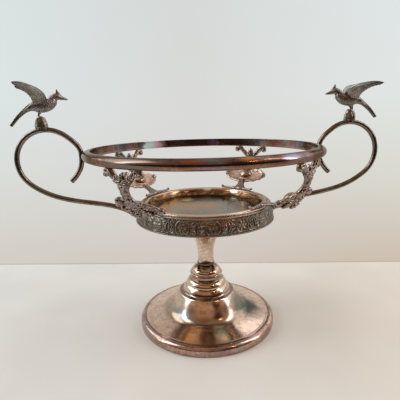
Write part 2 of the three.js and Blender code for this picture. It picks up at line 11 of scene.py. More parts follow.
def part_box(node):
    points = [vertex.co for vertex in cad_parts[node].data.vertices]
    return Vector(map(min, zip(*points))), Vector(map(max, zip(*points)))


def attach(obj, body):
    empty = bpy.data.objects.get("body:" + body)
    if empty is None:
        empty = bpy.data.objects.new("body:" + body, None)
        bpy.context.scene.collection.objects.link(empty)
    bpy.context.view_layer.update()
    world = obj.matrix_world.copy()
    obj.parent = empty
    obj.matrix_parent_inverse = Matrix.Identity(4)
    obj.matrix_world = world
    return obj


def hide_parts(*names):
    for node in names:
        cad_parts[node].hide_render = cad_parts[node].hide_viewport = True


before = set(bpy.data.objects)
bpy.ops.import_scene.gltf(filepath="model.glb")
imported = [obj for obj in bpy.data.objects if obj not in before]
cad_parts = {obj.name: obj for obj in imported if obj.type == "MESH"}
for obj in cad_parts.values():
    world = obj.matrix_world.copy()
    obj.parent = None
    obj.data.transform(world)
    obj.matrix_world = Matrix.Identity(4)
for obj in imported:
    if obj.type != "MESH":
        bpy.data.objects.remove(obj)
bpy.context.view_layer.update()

MM = 0.001


def node_box(name):
    """The low and high corner of a node's box, in millimetres."""
    return [[value / MM for value in corner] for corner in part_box(name)]


# Levels and radii, read from the frame's nodes
ring_low, ring_high = node_box("bowl_ring")
dish_low, dish_high = node_box("dish")
apron_low, apron_high = node_box("apron")
stem_low, stem_high = node_box("stem_trumpet")
collar_low, collar_high = node_box("stem_collar")
foot_high = node_box("foot_shell")[1]
border_high = node_box("foot_border")[1]

SHEET = 1.2
SEAT = 0.3
ROD_RADIUS = 2.5
ROD_HOLE = 2.9
RING_RADIUS = ring_high[0]
RING_BOTTOM = ring_low[2]
RING_TOP = ring_high[2]
RING_MIDDLE = (RING_BOTTOM + RING_TOP) / 2
RING_DEPTH = 7.5
RING_LAND = 2.2
DISH_RADIUS = dish_high[0]
DISH_FLOOR_RADIUS = 47
DISH_FLOOR = dish_low[2] + SHEET
FLANGE_CREST = 0.5
FLANGE_TOP = dish_high[2] - FLANGE_CREST
APRON_TOP = apron_high[2]
APRON_BOTTOM = apron_low[2]
FOOT_RADIUS = border_high[0]
FOOT_TOP = foot_high[2]


def add_object(name, data):
    obj = bpy.data.objects.new(name, data)
    bpy.context.collection.objects.link(obj)
    return obj


# Camera, at the photograph's place
CAMERA_PLACE = (-35.7, -353.8, 213.9)
CAMERA_FORWARD = (0.08512, 0.97027, -0.22656)
CAMERA_UP = (0.0441, 0.22349, 0.97371)
CAMERA_LENS = 32.26
CAMERA_SENSOR = 36


def make_camera():
    data = bpy.data.cameras.new("camera")
    data.sensor_width = CAMERA_SENSOR
    data.lens = CAMERA_LENS
    data.clip_start = 0.01
    data.clip_end = 20
    camera = add_object("camera", data)
    forward = Vector(CAMERA_FORWARD)
    right = forward.cross(Vector(CAMERA_UP)).normalized()
    turn = Matrix((right, right.cross(forward), -forward)).transposed()
    camera.matrix_world = Matrix.Translation(Vector(CAMERA_PLACE) * MM) @ turn.to_4x4()
    bpy.context.scene.camera = camera


# Outlines
def trace(start, *moves, count=10):
    """Points from start: a move of 2 numbers is a line, of 4 a quadratic curve and of 6 a cubic one."""
    points = [tuple(start)]
    for move in moves:
        stops = [np.array(points[-1])] + [np.array(move[i:i + 2]) for i in range(0, len(move), 2)]
        if len(stops) == 2:
            points.append(tuple(stops[1]))
            continue
        for step in range(1, count + 1):
            level = list(stops)
            share = step / count
            while len(level) > 1:
                level = [a * (1 - share) + b * share for a, b in zip(level, level[1:])]
            points.append(tuple(level[0]))
    return points


def arc(centre, radii, start, end, count):
    angles = np.radians(np.linspace(start, end, count + 1))
    return [(centre[0] + radii[0] * math.cos(a), centre[1] + radii[1] * math.sin(a)) for a in angles]


def smooth_run(points, count):
    """A Catmull-Rom run through points, with count steps in all."""
    points = np.array(points, float)
    padded = np.vstack([2 * points[0] - points[1], points, 2 * points[-1] - points[-2]])
    spans = len(points) - 1
    result = []
    for place in np.linspace(0, spans, count + 1):
        span = min(int(place), spans - 1)
        t = place - span
        a, b, c, d = padded[span:span + 4]
        curve = 2 * b + (c - a) * t + (2 * a - 5 * b + 4 * c - d) * t**2 + (3 * b - a - 3 * c + d) * t**3
        result.append(curve / 2)
    return np.array(result)


def bell(value, width):
    return np.exp(-((value / width) ** 2))


def rough(points, scale, seed):
    """Smooth noise at each point, from -1 to 1."""
    shift = Vector((seed * 7.3, seed * 3.1, seed * 1.7))
    return np.array([noise.noise(Vector(p) / scale + shift) for p in points])


# Meshes, as points and faces
def sheet_faces(rows, columns, close_rows=False, close_columns=True):
    """Quads of a grid of rows and columns of points."""
    faces = []
    for row in range(rows if close_rows else rows - 1):
        for column in range(columns if close_columns else columns - 1):
            below = row * columns
            above = ((row + 1) % rows) * columns
            after = (column + 1) % columns
            faces.append((below + column, below + after, above + after, above + column))
    return faces


def tube_faces(rows, sides):
    """Quads between the sections of a tube, and its two ends."""
    last = (rows - 1) * sides
    ends = [tuple(reversed(range(sides))), tuple(range(last, last + sides))]
    return sheet_faces(rows, sides) + ends


def turned(outline, segments):
    """A closed outline of (radius, height) turned about Z."""
    outline = np.array(outline, float)
    angles = np.linspace(0, 2 * math.pi, segments, endpoint=False)
    points = np.empty((len(outline), segments, 3))
    points[:, :, 0] = outline[:, 0, None] * np.cos(angles)
    points[:, :, 1] = outline[:, 0, None] * np.sin(angles)
    points[:, :, 2] = outline[:, 1, None]
    return points.reshape(-1, 3), sheet_faces(len(outline), segments, close_rows=True)


def lofted(stations, sides, steps, sideways):
    """Oval sections along a spine. Each station is (place, half size sideways, half size across that)."""
    spine = smooth_run([place for place, _, _ in stations], steps)
    halves = smooth_run([(a, b) for _, a, b in stations], steps)
    tangents = np.gradient(spine, axis=0)
    sideways = Vector(sideways)
    points = []
    for centre, half, tangent in zip(spine, halves, tangents):
        along = Vector(tangent).normalized()
        side = (sideways - along * sideways.dot(along)).normalized()
        up = along.cross(side)
        for corner in range(sides):
            angle = 2 * math.pi * corner / sides
            offset = side * (math.cos(angle) * half[0]) + up * (math.sin(angle) * half[1])
            points.append(Vector(centre) + offset)
    return np.array(points), tube_faces(len(spine), sides)


def sphere(columns, rows, matrix, bend=None):
    """A unit ball, bent where asked and then put in place."""
    mesh = bmesh.new()
    bmesh.ops.create_uvsphere(mesh, u_segments=columns, v_segments=rows, radius=1)
    if bend:
        for vertex in mesh.verts:
            vertex.co = bend(*vertex.co)
    bmesh.ops.transform(mesh, matrix=matrix, verts=mesh.verts)
    mesh.verts.index_update()
    points = np.array([v.co for v in mesh.verts])
    faces = [tuple(v.index for v in face.verts) for face in mesh.faces]
    mesh.free()
    return points, faces


def ball(centre, radii, columns=20, rows=12, tilt=0):
    """An oval ball, tilted about Y in degrees."""
    turn = Matrix.Rotation(math.radians(tilt), 4, "Y")
    return sphere(columns, rows, Matrix.Translation(Vector(centre)) @ turn @ Matrix.Diagonal((*radii, 1)))


def gather(parts):
    """Several (points, faces) as one."""
    points, faces = [], []
    for part_points, part_faces in parts:
        first = sum(len(p) for p in points)
        points.append(part_points)
        faces += [tuple(index + first for index in face) for face in part_faces]
    return np.vstack(points), faces


# Objects
def make_object(name, points, faces, material, sharp=35):
    mesh = bpy.data.meshes.new(name)
    mesh.from_pydata([tuple(p) for p in np.asarray(points) * MM], [], faces)
    mesh.validate()
    work = bmesh.new()
    work.from_mesh(mesh)
    bmesh.ops.remove_doubles(work, verts=work.verts, dist=1e-6)
    bmesh.ops.recalc_face_normals(work, faces=work.faces)
    work.to_mesh(mesh)
    work.free()
    mesh.shade_smooth()
    mesh.set_sharp_from_angle(angle=math.radians(sharp))
    mesh.materials.append(material)
    return add_object(name, mesh)


def spin(name, outline, segments, material, sharp=50):
    points, faces = turned(outline, segments)
    return make_object(name, points, faces, material, sharp)


def dress(obj, slot, *nodes):
    """The piece stands for these nodes and rides on the root body. The slot is not used."""
    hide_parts(*nodes)
    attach(obj, "root")
    return obj


def fuse(obj, voxel, repeats):
    """Melts overlapping forms of a casting into one skin."""
    remesh = obj.modifiers.new("fuse", "REMESH")
    remesh.mode = "VOXEL"
    remesh.voxel_size = voxel * MM
    soften = obj.modifiers.new("soften", "SMOOTH")
    soften.factor = 0.5
    soften.iterations = repeats
    bpy.context.view_layer.update()
    graph = bpy.context.evaluated_depsgraph_get()
    mesh = bpy.data.meshes.new_from_object(obj.evaluated_get(graph))
    old = obj.data
    obj.modifiers.clear()
    obj.data = mesh
    bpy.data.meshes.remove(old)
    mesh.shade_smooth()


def read_mesh(obj):
    """Points and normals of an object's mesh, in millimetres."""
    count = len(obj.data.vertices)
    points = np.empty(count * 3)
    normals = np.empty(count * 3)
    obj.data.vertices.foreach_get("co", points)
    obj.data.vertex_normals.foreach_get("vector", normals)
    return points.reshape(-1, 3) / MM, normals.reshape(-1, 3)


def write_mesh(obj, points):
    obj.data.vertices.foreach_set("co", (points * MM).ravel())
    obj.data.update()


# Finishes
class Nodes:
    """A short way to build a tree of shader nodes."""

    def __init__(self, tree):
        self.nodes = tree.nodes
        self.links = tree.links

    def put(self, target, value):
        """Links a socket to an input, or sets the input to a number, a vector or a colour."""
        if isinstance(value, bpy.types.NodeSocket):
            self.links.new(value, target)
        elif target.type == "RGBA":
            target.default_value = (*value, 1)
        else:
            target.default_value = value

    def add(self, kind, inputs=(), **settings):
        """A node with its settings, and with its inputs filled by name or number."""
        node = self.nodes.new(kind)
        for key, value in settings.items():
            setattr(node, key, value)
        for key, value in dict(inputs).items():
            self.put(node.inputs[key], value)
        return node

    def ramp(self, source, *stops, smooth=True):
        """A colour ramp. Each stop is (place, colour) or (place, grey)."""
        node = self.add("ShaderNodeValToRGB", {"Fac": source})
        node.color_ramp.interpolation = "EASE" if smooth else "LINEAR"
        elements = node.color_ramp.elements
        while len(elements) < len(stops):
            elements.new(0.5)
        for element, (place, colour) in zip(elements, stops):
            element.position = place
            if isinstance(colour, (int, float)):
                colour = (colour, colour, colour)
            element.color = (*colour, 1)
        return node.outputs["Color"]

    def mix(self, share, first, second, blend="MIX"):
        inputs = {0: share, 6: first, 7: second}
        return self.add("ShaderNodeMix", inputs, data_type="RGBA", blend_type=blend).outputs[2]

    def multiply(self, first, second):
        return self.mix(1.0, first, second, blend="MULTIPLY")

    def maths(self, operation, *values):
        return self.add("ShaderNodeMath", enumerate(values), operation=operation).outputs[0]

    def vector(self, operation, *values):
        node = self.add("ShaderNodeVectorMath", enumerate(values), operation=operation)
        return node.outputs["Value" if operation in ("LENGTH", "DOT_PRODUCT") else "Vector"]

    def spread(self, source, low, high):
        """0 at low and 1 at high."""
        inputs = {"Value": source, "From Min": low, "From Max": high}
        return self.add("ShaderNodeMapRange", inputs).outputs[0]


class Finish(Nodes):
    """A material, with the marks that plate takes."""

    def __init__(self, name):
        self.material = bpy.data.materials.new(name)
        self.material.use_nodes = True
        super().__init__(self.material.node_tree)
        self.place = self.add("ShaderNodeTexCoord").outputs["Object"]

    def shade(self, inputs):
        """Fills the shader's inputs and gives the material."""
        for key, value in inputs.items():
            self.put(self.nodes["Principled BSDF"].inputs[key], value)
        return self.material

    def cloud(self, size, detail=4, roughness=0.55, distortion=0.0, shift=0.0):
        """Noise with patches of about size millimetres."""
        inputs = {
            "Vector": self.vector("ADD", self.place, (shift, shift * 0.7, -shift)),
            "Scale": 1 / (size * MM),
            "Detail": detail,
            "Roughness": roughness,
            "Distortion": distortion,
        }
        return self.add("ShaderNodeTexNoise", inputs).outputs["Fac"]

    def bump(self, height, strength, distance, after=None):
        inputs = {"Height": height, "Strength": strength, "Distance": distance * MM}
        if after is not None:
            inputs["Normal"] = after
        return self.add("ShaderNodeBump", inputs).outputs["Normal"]

    def split(self):
        return self.add("ShaderNodeSeparateXYZ", {0: self.place}).outputs

    def radius(self):
        """Distance from the axis."""
        squares = [self.maths("MULTIPLY", value, value) for value in list(self.split())[:2]]
        return self.maths("SQRT", self.maths("ADD", *squares))

    def attribute(self, name):
        return self.add("ShaderNodeAttribute", attribute_name=name).outputs["Fac"]

    def between(self, source, low, high, *stops):
        """A colour ramp over a range in millimetres, with its stops in millimetres."""
        stops = [((place - low) / (high - low), colour) for place, colour in stops]
        return self.ramp(self.spread(source, low * MM, high * MM), *stops, smooth=False)

    def spots(self, colour, *marks):
        """Lays soft stains with uneven edges. Each is (place, half size along X, Y and Z, tint, share)."""
        for place, reach, tint, share in marks:
            inputs = {"Vector": self.place, "Scale": 1 / (7 * MM), "Detail": 3}
            stir = self.add("ShaderNodeTexNoise", inputs).outputs["Fac"]
            offset = self.vector("SUBTRACT", self.place, Vector(place) * MM)
            away = self.vector("LENGTH", self.vector("DIVIDE", offset, Vector(reach) * MM))
            edge = self.maths("ADD", self.maths("MULTIPLY", away, 0.6), self.maths("MULTIPLY", stir, 0.45))
            colour = self.mix(self.ramp(edge, (0.4, share), (0.9, 0.0)), colour, tint)
        return colour

    def turning_lines(self, spacing):
        """Fine rings about the axis, as left by spinning and polishing."""
        reach = self.maths("ADD", self.radius(), self.maths("MULTIPLY", self.split()[2], 0.6))
        inputs = {"W": reach, "Scale": 1 / (spacing * MM), "Detail": 3}
        return self.add("ShaderNodeTexNoise", inputs, noise_dimensions="1D").outputs["Fac"]


def plated(
    name, clean, stained, deep, gloss, patch, seed,
    oil=0.25, spun=0.0, relief=None, paint=None, grazing=1.0,
):
    """Tarnished silver plate: patches of stain, iridescent films, fine scratches and pits.

    Relief gives the shares of dirt in the hollows and of wear on the edges, paint adds a piece's own marks
    and painted light, and grazing holds back the pale sheen of a surface seen edge on."""
    finish = Finish(name)
    broad = finish.cloud(patch, detail=5, distortion=0.6, shift=seed)
    fine = finish.cloud(patch / 7, roughness=0.7, shift=seed + 1)
    colour = finish.mix(finish.ramp(broad, (0.36, 0.0), (0.62, 1.0)), clean, stained)
    colour = finish.mix(finish.ramp(fine, (0.42, 0.0), (0.7, 0.75)), colour, deep)
    hues = finish.ramp(
        finish.cloud(patch * 0.8, detail=3, distortion=1.2, shift=seed + 3),
        (0.3, (0.75, 0.5, 0.28)),
        (0.4, (0.62, 0.3, 0.3)),
        (0.48, (0.36, 0.26, 0.46)),
        (0.56, (0.22, 0.42, 0.5)),
        (0.64, (0.46, 0.6, 0.44)),
        (0.74, (0.78, 0.62, 0.4)),
    )
    where = finish.ramp(finish.cloud(patch * 1.7, detail=2, shift=seed + 4), (0.45, 0.0), (0.66, oil))
    colour = finish.mix(where, colour, hues)
    if relief:
        dirt, wear = relief
        shape = finish.add("ShaderNodeNewGeometry").outputs["Pointiness"]
        hollows = finish.ramp(shape, (0.455, dirt), (0.512, 0.0))
        worn = finish.ramp(shape, (0.52, 0.0), (0.59, wear))
        colour = finish.mix(hollows, colour, tuple(value * 0.32 for value in deep))
        colour = finish.mix(worn, colour, tuple(min(1.0, value * 1.15) for value in clean))
    pits = finish.ramp(finish.cloud(1.3, detail=2, shift=seed + 2), (0.24, 0.7), (0.33, 0.0))
    colour = finish.mix(pits, colour, tuple(value * 0.5 for value in deep))
    low, high = gloss
    shine = finish.ramp(fine, (0.3, low), (0.75, high))
    if paint:
        colour, shine = paint(finish, colour, shine)
    normal = finish.bump(finish.cloud(0.5, detail=3, shift=seed), 0.12, 0.03)
    normal = finish.bump(finish.cloud(14, detail=2, shift=seed + 5), 0.3, 0.25, after=normal)
    if spun:
        normal = finish.bump(finish.turning_lines(0.35), spun, 0.02, after=normal)
    return finish.shade({
        "Base Color": colour,
        "Metallic": 1.0,
        "Specular Tint": (grazing, grazing * 0.94, grazing * 0.86),
        "Roughness": shine,
        "Normal": normal,
    })


# The ranges in millimetres that the colours of foot and dish are laid over
FOOT_SPAN = (8, 64)
DISH_SPAN = (40, 66)


def paint_foot(finish, colour, shine):
    """Pale flange, dull bell and painted shade in bands low on the bell, in the creases between the steps and
    on the crown's top, with painted reflections of dark things and a bluish-grey stain on the bell.
    """
    height = finish.split()[2]
    # Painted shade by height: darker bands low on the bell, in the creases between the steps and on the
    # crown's top
    painted_shade_bands = finish.between(
        height, *FOOT_SPAN,
        (9, (0.98, 0.9, 0.86)), (12.4, (0.98, 0.9, 0.86)), (13.6, (0.62, 0.54, 0.48)),
        (17, (0.48, 0.43, 0.38)), (21, (0.6, 0.55, 0.5)), (26, (0.85, 0.79, 0.74)),
        (33.2, (0.78, 0.73, 0.68)), (33.8, (0.42, 0.38, 0.36)), (36.2, (0.42, 0.38, 0.36)),
        (37, (0.8, 0.74, 0.68)), (46.6, (0.86, 0.78, 0.7)), (47.8, (0.42, 0.38, 0.34)),
        (53.4, (0.5, 0.42, 0.36)), (54.4, (0.78, 0.7, 0.64)), (59.4, (0.7, 0.62, 0.56)),
        (60.6, (0.26, 0.24, 0.24)),
    )
    # Painted reflections of dark things as dark patches on the right of the bell; the bluish-grey stain on
    # its left also dims the lamp's highlight
    colour = finish.spots(
        finish.multiply(colour, painted_shade_bands),
        ((-20, -22, 19), (15, 15, 8), (0.34, 0.38, 0.43), 0.85),
        ((34, 1, 19), (17, 25, 16), (0.05, 0.065, 0.05), 1.0),
        ((42, -7, 12), (17, 24, 9), (0.1, 0.11, 0.085), 1.0),
        ((29, -15, 21), (9, 14, 15), (0.22, 0.21, 0.17), 0.8),
    )
    dull = finish.between(height, *FOOT_SPAN, (12, 0.0), (18, 0.03), (30, 0.02), (33, 0.0))
    return colour, finish.maths("ADD", shine, dull)


def paint_stem(finish, colour, shine):
    """Painted shade: the collar is darker than the stem."""
    painted_shade_bands = finish.between(finish.split()[2], 62, 80, (65.3, (0.22, 0.19, 0.18)), (65.7, (1.0, 1.0, 1.0)))
    return finish.multiply(colour, painted_shade_bands), shine


def paint_ring(finish, colour, shine):
    """A coppery underside, a dark red patch, and painted light: coloured glints on the front and inside,
    paler ends and a darker left front that holds back the lamp's highlight.
    """
    under = finish.between(finish.split()[2], RING_BOTTOM, RING_TOP, (178.2, 0.6), (179.8, 0.0))
    # Painted light: the dark left front dims the lamp's highlight, the orange, lilac, cyan, pink and purple
    # spots are painted glints, and the paler ends are painted highlights
    colour = finish.spots(
        finish.mix(under, colour, (0.5, 0.3, 0.2)),
        ((-66, -94, 184), (34, 24, 12), (0.2, 0.15, 0.12), 0.9),
        ((-21, -113, 184), (12, 6, 1.6), (0.6, 0.2, 0.07), 0.45),
        ((20, -113, 185), (9, 6, 1.6), (0.9, 0.34, 0.1), 0.65),
        ((55, -101, 184), (12, 12, 3), (0.42, 0.38, 0.5), 0.7),
        ((-56, 92, 181), (14, 12, 10), (0.75, 1.0, 1.0), 1.0),
        ((-45, 97, 181), (10, 9, 10), (1.0, 0.7, 0.85), 1.0),
        ((23, 105, 181), (9, 9, 6), (0.7, 0.45, 0.9), 1.0),
        ((110, -30, 181), (16, 34, 14), (0.66, 0.45, 0.35), 1.0),
        ((-110, -30, 181), (16, 34, 14), (0.55, 0.42, 0.36), 0.9),
        ((90, 59, 181), (14, 20, 6), (0.3, 0.12, 0.1), 0.8),
    )
    return colour, finish.spots(shine, ((-52, 94, 181), (18, 12, 7), (0.46, 0.46, 0.46), 1.0))


def paint_dish(finish, colour, shine):
    """Oil colours on the floor with a dark line round it, and painted light: a dark brown wall with orange
    patches and glints, and a paler flange.
    """
    stains = (
        ((22, 2), (70, 60), (0.52, 0.52, 0.52), 0.9),
        ((16, 36), (70, 26), (0.07, 0.065, 0.03), 1.0),
        ((-28, 32), (28, 22), (0.14, 0.09, 0.045), 0.95),
        ((-41, 12), (24, 42), (0.85, 0.45, 0.17), 1.0),
        ((-25, -4), (17, 22), (0.46, 0.55, 0.52), 0.9),
        ((-8, 0), (32, 19), (0.8, 0.48, 0.3), 0.85),
        ((-17, 34), (9, 14), (1.0, 0.74, 0.32), 1.0),
        ((42, 22), (15, 28), (0.14, 0.4, 0.27), 1.0),
        ((37, 2), (10, 12), (0.9, 0.72, 0.58), 1.0),
    )
    for place, reach, tint, share in stains:
        colour = finish.spots(colour, ((*place, DISH_FLOOR), (*reach, 20), tint, share))
    radius = finish.radius()
    # Painted reflections by radius: the dark olive and brown wall and the paler flange, after a dark line
    # round the floor
    wall = finish.between(
        radius, *DISH_SPAN,
        (45, (0.04, 0.03, 0.02)), (46.6, (0.2, 0.17, 0.12)), (51, (0.1, 0.07, 0.04)),
        (54, (0.17, 0.08, 0.045)), (57.0, (0.22, 0.12, 0.08)), (57.8, (0.95, 0.7, 0.56)),
        (64, (0.84, 0.65, 0.55)),
    )
    # Painted reflections: orange patches over the wall
    painted_glow = finish.ramp(finish.cloud(7, distortion=0.8, shift=2), (0.46, 0.0), (0.64, 0.6))
    upright = finish.between(radius, *DISH_SPAN, (50, 0.0), (52, 1.0), (57.2, 1.0), (58, 0.0))
    painted_wall_light = finish.mix(finish.maths("MULTIPLY", painted_glow, upright), wall, (0.66, 0.34, 0.15))
    colour = finish.mix(finish.between(radius, *DISH_SPAN, (44.6, 0.0), (46.4, 1.0)), colour, painted_wall_light)
    # Painted highlights: white and orange glints on the back of the wall
    painted_glints = (((9, 55), (1.0, 0.97, 0.93)), ((37, 41), (1.0, 0.95, 0.9)), ((-28, 47), (0.9, 0.62, 0.42)))
    for place, tint in painted_glints:
        mark = ((*place, 132), (6.5, 6, 4))
        colour = finish.spots(colour, (*mark, tint, 0.9))
        shine = finish.spots(shine, (*mark, (0.4, 0.4, 0.4), 0.9))
    return colour, shine


def paint_apron(finish, colour, shine):
    """Painted shade: darker toward both sides."""
    sideways = finish.maths("ABSOLUTE", finish.split()[0])
    # Painted shade, darker toward both sides
    sides = finish.between(sideways, 0, 70, (15, (1.05, 1.0, 0.94)), (55, (0.5, 0.52, 0.48)))
    return finish.multiply(colour, sides), shine


def paint_castings(finish, colour, shine):
    """The smooth inner faces are paler and duller than the relief, and the bosses on them are browner."""
    face = finish.attribute("plain_face")
    colour = finish.mix(finish.attribute("boss_face"), colour, (0.42, 0.27, 0.2))
    cloudy = finish.ramp(finish.cloud(5, detail=3, shift=3), (0.35, 0.0), (0.65, 1.0))
    pale = finish.mix(cloudy, (0.68, 0.48, 0.37), (0.42, 0.31, 0.25))
    return finish.mix(face, colour, pale), finish.mix(face, shine, (0.4, 0.4, 0.4))


FOOT_FINISH = plated(
    "foot_plate", (0.95, 0.8, 0.7), (0.82, 0.65, 0.54), (0.55, 0.42, 0.34),
    gloss=(0.11, 0.2), patch=34, seed=1, oil=0.1, spun=0.2, paint=paint_foot,
)
BORDER_FINISH = plated(
    "border_plate", (0.6, 0.43, 0.35), (0.4, 0.25, 0.2), (0.18, 0.1, 0.09),
    gloss=(0.12, 0.24), patch=18, seed=2, spun=0.2,
)
STEM_FINISH = plated(
    "stem_plate", (0.9, 0.74, 0.6), (0.7, 0.52, 0.38), (0.36, 0.23, 0.15),
    gloss=(0.1, 0.2), patch=12, seed=3, spun=0.2, paint=paint_stem,
)
DISH_FINISH = plated(
    "dish_plate", (0.6, 0.52, 0.46), (0.46, 0.38, 0.33), (0.28, 0.2, 0.16),
    gloss=(0.1, 0.22), patch=24, seed=4, oil=0.2, spun=0.2, paint=paint_dish, grazing=0.6,
)
APRON_FINISH = plated(
    "apron_plate", (0.42, 0.37, 0.32), (0.3, 0.255, 0.21), (0.17, 0.135, 0.105),
    gloss=(0.24, 0.38), patch=14, seed=5, oil=0.35, relief=(0.8, 0.5), paint=paint_apron,
)
RING_FINISH = plated(
    "ring_plate", (0.27, 0.165, 0.13), (0.16, 0.085, 0.066), (0.08, 0.042, 0.033),
    gloss=(0.14, 0.24), patch=22, seed=6, oil=0.35, spun=0.15, paint=paint_ring, grazing=0.6,
)
CAST_FINISH = plated(
    "cast_plate", (0.5, 0.4, 0.34), (0.25, 0.19, 0.155), (0.09, 0.065, 0.05),
    gloss=(0.2, 0.36), patch=6, seed=7, oil=0.45, relief=(1.0, 0.8), paint=paint_castings,
)
ROD_FINISH = plated(
    "rod_plate", (0.29, 0.245, 0.2), (0.18, 0.145, 0.11), (0.09, 0.07, 0.052),
    gloss=(0.16, 0.32), patch=9, seed=8,
)
BIRD_FINISH = plated(
    "bird_plate", (0.36, 0.35, 0.325), (0.24, 0.225, 0.2), (0.11, 0.095, 0.08),
    gloss=(0.26, 0.4), patch=7, seed=9, oil=0.3, relief=(0.55, 0.45),
)
INNER_FINISH = plated(
    "inner_metal", (0.6, 0.55, 0.48), (0.46, 0.4, 0.33), (0.3, 0.25, 0.2),
    gloss=(0.3, 0.5), patch=8, seed=10, oil=0.0,
)

# Turned pieces
ROUND = 224
FOOT_WALL = 0.7
CREASE_BOTTOM = 49
CREASE_INSIDE = 15.2
BORDER_BEAD = 4.4
BORDER_JOINT = 65.6
BORDER_INSIDE = 62
STEM_WAIST = 8.0


def make_foot():
    """The outside from the border up to the crown. The inside keeps within the crease under the crown."""
    outside = trace(
        (65.3, 9.7),
        (64.4, 9.95, 63.6, 9.85),
        (63.2, 10.0),
        (46, 12.9),
        (35.6, 15.0, 34.9, 26.1, 29.6, 32.6),
        (29.1, 33.3, 28.6, 33.5),
        (27.6, 33.7),
        (25.0, 34.0, 24.5, 35.8),
        (23.6, 39.6, 20.9, 41.6),
        (20.9, 42.4),
        (19.9, 46.8, 16.5, 47.6),
        (16.2, 48.0),
        (16.0, 51.6),
        (16.2, 52.6, 17.0, 53.0),
        (17.3, 53.5, 16.8, 54.0),
        (15.6, 54.3),
        (15.4, 57.2, 13.6, 58.6),
        (11.2, 60.9, 8.2, FOOT_TOP),
        (ROD_HOLE, FOOT_TOP),
        count=14,
    )
    inside = []
    for radius, height in outside:
        limit = CREASE_INSIDE if height > CREASE_BOTTOM else radius
        inside.append((max(min(radius - FOOT_WALL, limit), ROD_HOLE), height - SHEET))
    return spin("foot_shell_plate", outside + inside[::-1], ROUND, FOOT_FINISH)


def make_foot_border():
    bead = arc((FOOT_RADIUS - BORDER_BEAD, 4.6), (BORDER_BEAD, 4.6), 0, 90, 16)
    groove = [(66.0, 9.1), (65.85, 8.75), (65.7, 9.1), (BORDER_JOINT, 9.2)]
    base = [(BORDER_INSIDE, 0), (FOOT_RADIUS - 0.6, 0), (FOOT_RADIUS, 0.6)]
    ledge = [(BORDER_JOINT, 8.2), (BORDER_INSIDE, 8.2)]
    return spin("foot_border_plate", base + bead + groove + ledge, ROUND, BORDER_FINISH)


def make_stem():
    low, high = stem_low[2], stem_high[2]
    waist = low + 0.1 * (high - low)
    outside = trace(
        (8.6, low),
        (STEM_WAIST, low + 2.3, STEM_WAIST, waist),
        (STEM_WAIST, waist + 15.7, 15.8, waist + 29.3, 25.0, high),
        count=30,
    )
    inside = [(r - SHEET, z) for r, z in outside][::-1]
    return spin("stem_plate_tube", outside + inside, 128, STEM_FINISH)


def make_collar():
    low, high = collar_low[2], collar_high[2]
    radius = collar_high[0]
    side = [(radius - 0.5, low), (radius, low + 0.4), (radius, high - 0.4), (radius - 0.5, high)]
    return spin("stem_collar_plate", [(ROD_HOLE, low)] + side + [(ROD_HOLE, high)], 96, STEM_FINISH)


def make_dish():
    rim = DISH_RADIUS
    top = trace(
        (rim, FLANGE_TOP - SHEET),
        (rim, FLANGE_TOP - 0.5),
        (rim, FLANGE_TOP + 0.15, rim - 0.9, FLANGE_TOP + 0.15),
        (rim - 1.6, FLANGE_TOP + 0.15, rim - 2.1, FLANGE_TOP - 0.35),
        (rim - 2.6, FLANGE_TOP - 0.1),
        (60.5, FLANGE_TOP + 0.7, 58.6, FLANGE_TOP + 0.35),
        (57.9, FLANGE_TOP + 0.25, 57.4, FLANGE_TOP - 0.3),
        (56.0, FLANGE_TOP - 1.2, 55.4, DISH_FLOOR + 3.0),
        (54.2, DISH_FLOOR + 2.5),
        (52.0, DISH_FLOOR + 0.1, DISH_FLOOR_RADIUS, DISH_FLOOR),
        (0.0, DISH_FLOOR),
    )
    under = [(max(r - 0.3, 0.0), z - SHEET) for r, z in top[1:]][::-1]
    return spin("dish_plate_tray", under + top, ROUND, DISH_FINISH)


def make_ring():
    inner = RING_RADIUS - RING_DEPTH
    flat = inner + RING_LAND
    bevel = inner + 0.5
    outer = arc((flat, RING_MIDDLE), (RING_RADIUS - flat, (RING_TOP - RING_BOTTOM) / 2), -90, 90, 24)
    inside = [(bevel, RING_TOP), (inner, RING_TOP - 0.5), (inner, RING_BOTTOM + 0.5)]
    return spin("bowl_ring_plate", [(bevel, RING_BOTTOM)] + outer + inside, 256, RING_FINISH, sharp=40)


# Apron: a band of roundels with rosettes, and fans between them
ROUNDELS = 16
ROUNDEL_COLUMNS = 66
APRON_ROWS = 72
ROUNDEL_RADIUS = 6.0
FAN_PLACE = (13.35, 7.2)
CURL_PLACE = 9.6
APRON_WALL = 69.1
APRON_MEAN = 68


def apron_relief(along, up):
    """Height of the stamped pattern, in mm, at a place from the roundel's middle."""
    reach = np.hypot(along, up)
    petals = (0.5 + 0.5 * np.cos(6 * np.arctan2(up, along))) * bell(reach - 2.9, 1.3)
    height = 0.75 * bell(reach - ROUNDEL_RADIUS, 0.55) + 0.4 * bell(reach - 4.7, 0.35)
    height += 0.65 * petals + 0.8 * bell(reach, 0.9)
    outside = 1 / (1 + np.exp(-(reach - ROUNDEL_RADIUS - 0.9) * 3))
    for turn in (1, -1):
        for side in (-1, 1):
            across, rise = along - side * FAN_PLACE[0], up + turn * FAN_PLACE[1]
            away = np.hypot(across, rise)
            ribs = 0.5 + 0.5 * np.cos(13 * np.arctan2(rise * turn, across))
            height += outside * 0.75 * ribs * bell(away - 5.0, 2.6)
            height += outside * 0.5 * bell(away - 1.6, 0.6)
    for side in (-CURL_PLACE, CURL_PLACE):
        curl = np.hypot(along - side, up)
        height += outside * (0.6 * bell(curl - 2.0, 0.5) + 0.6 * bell(curl, 0.7))
    return height


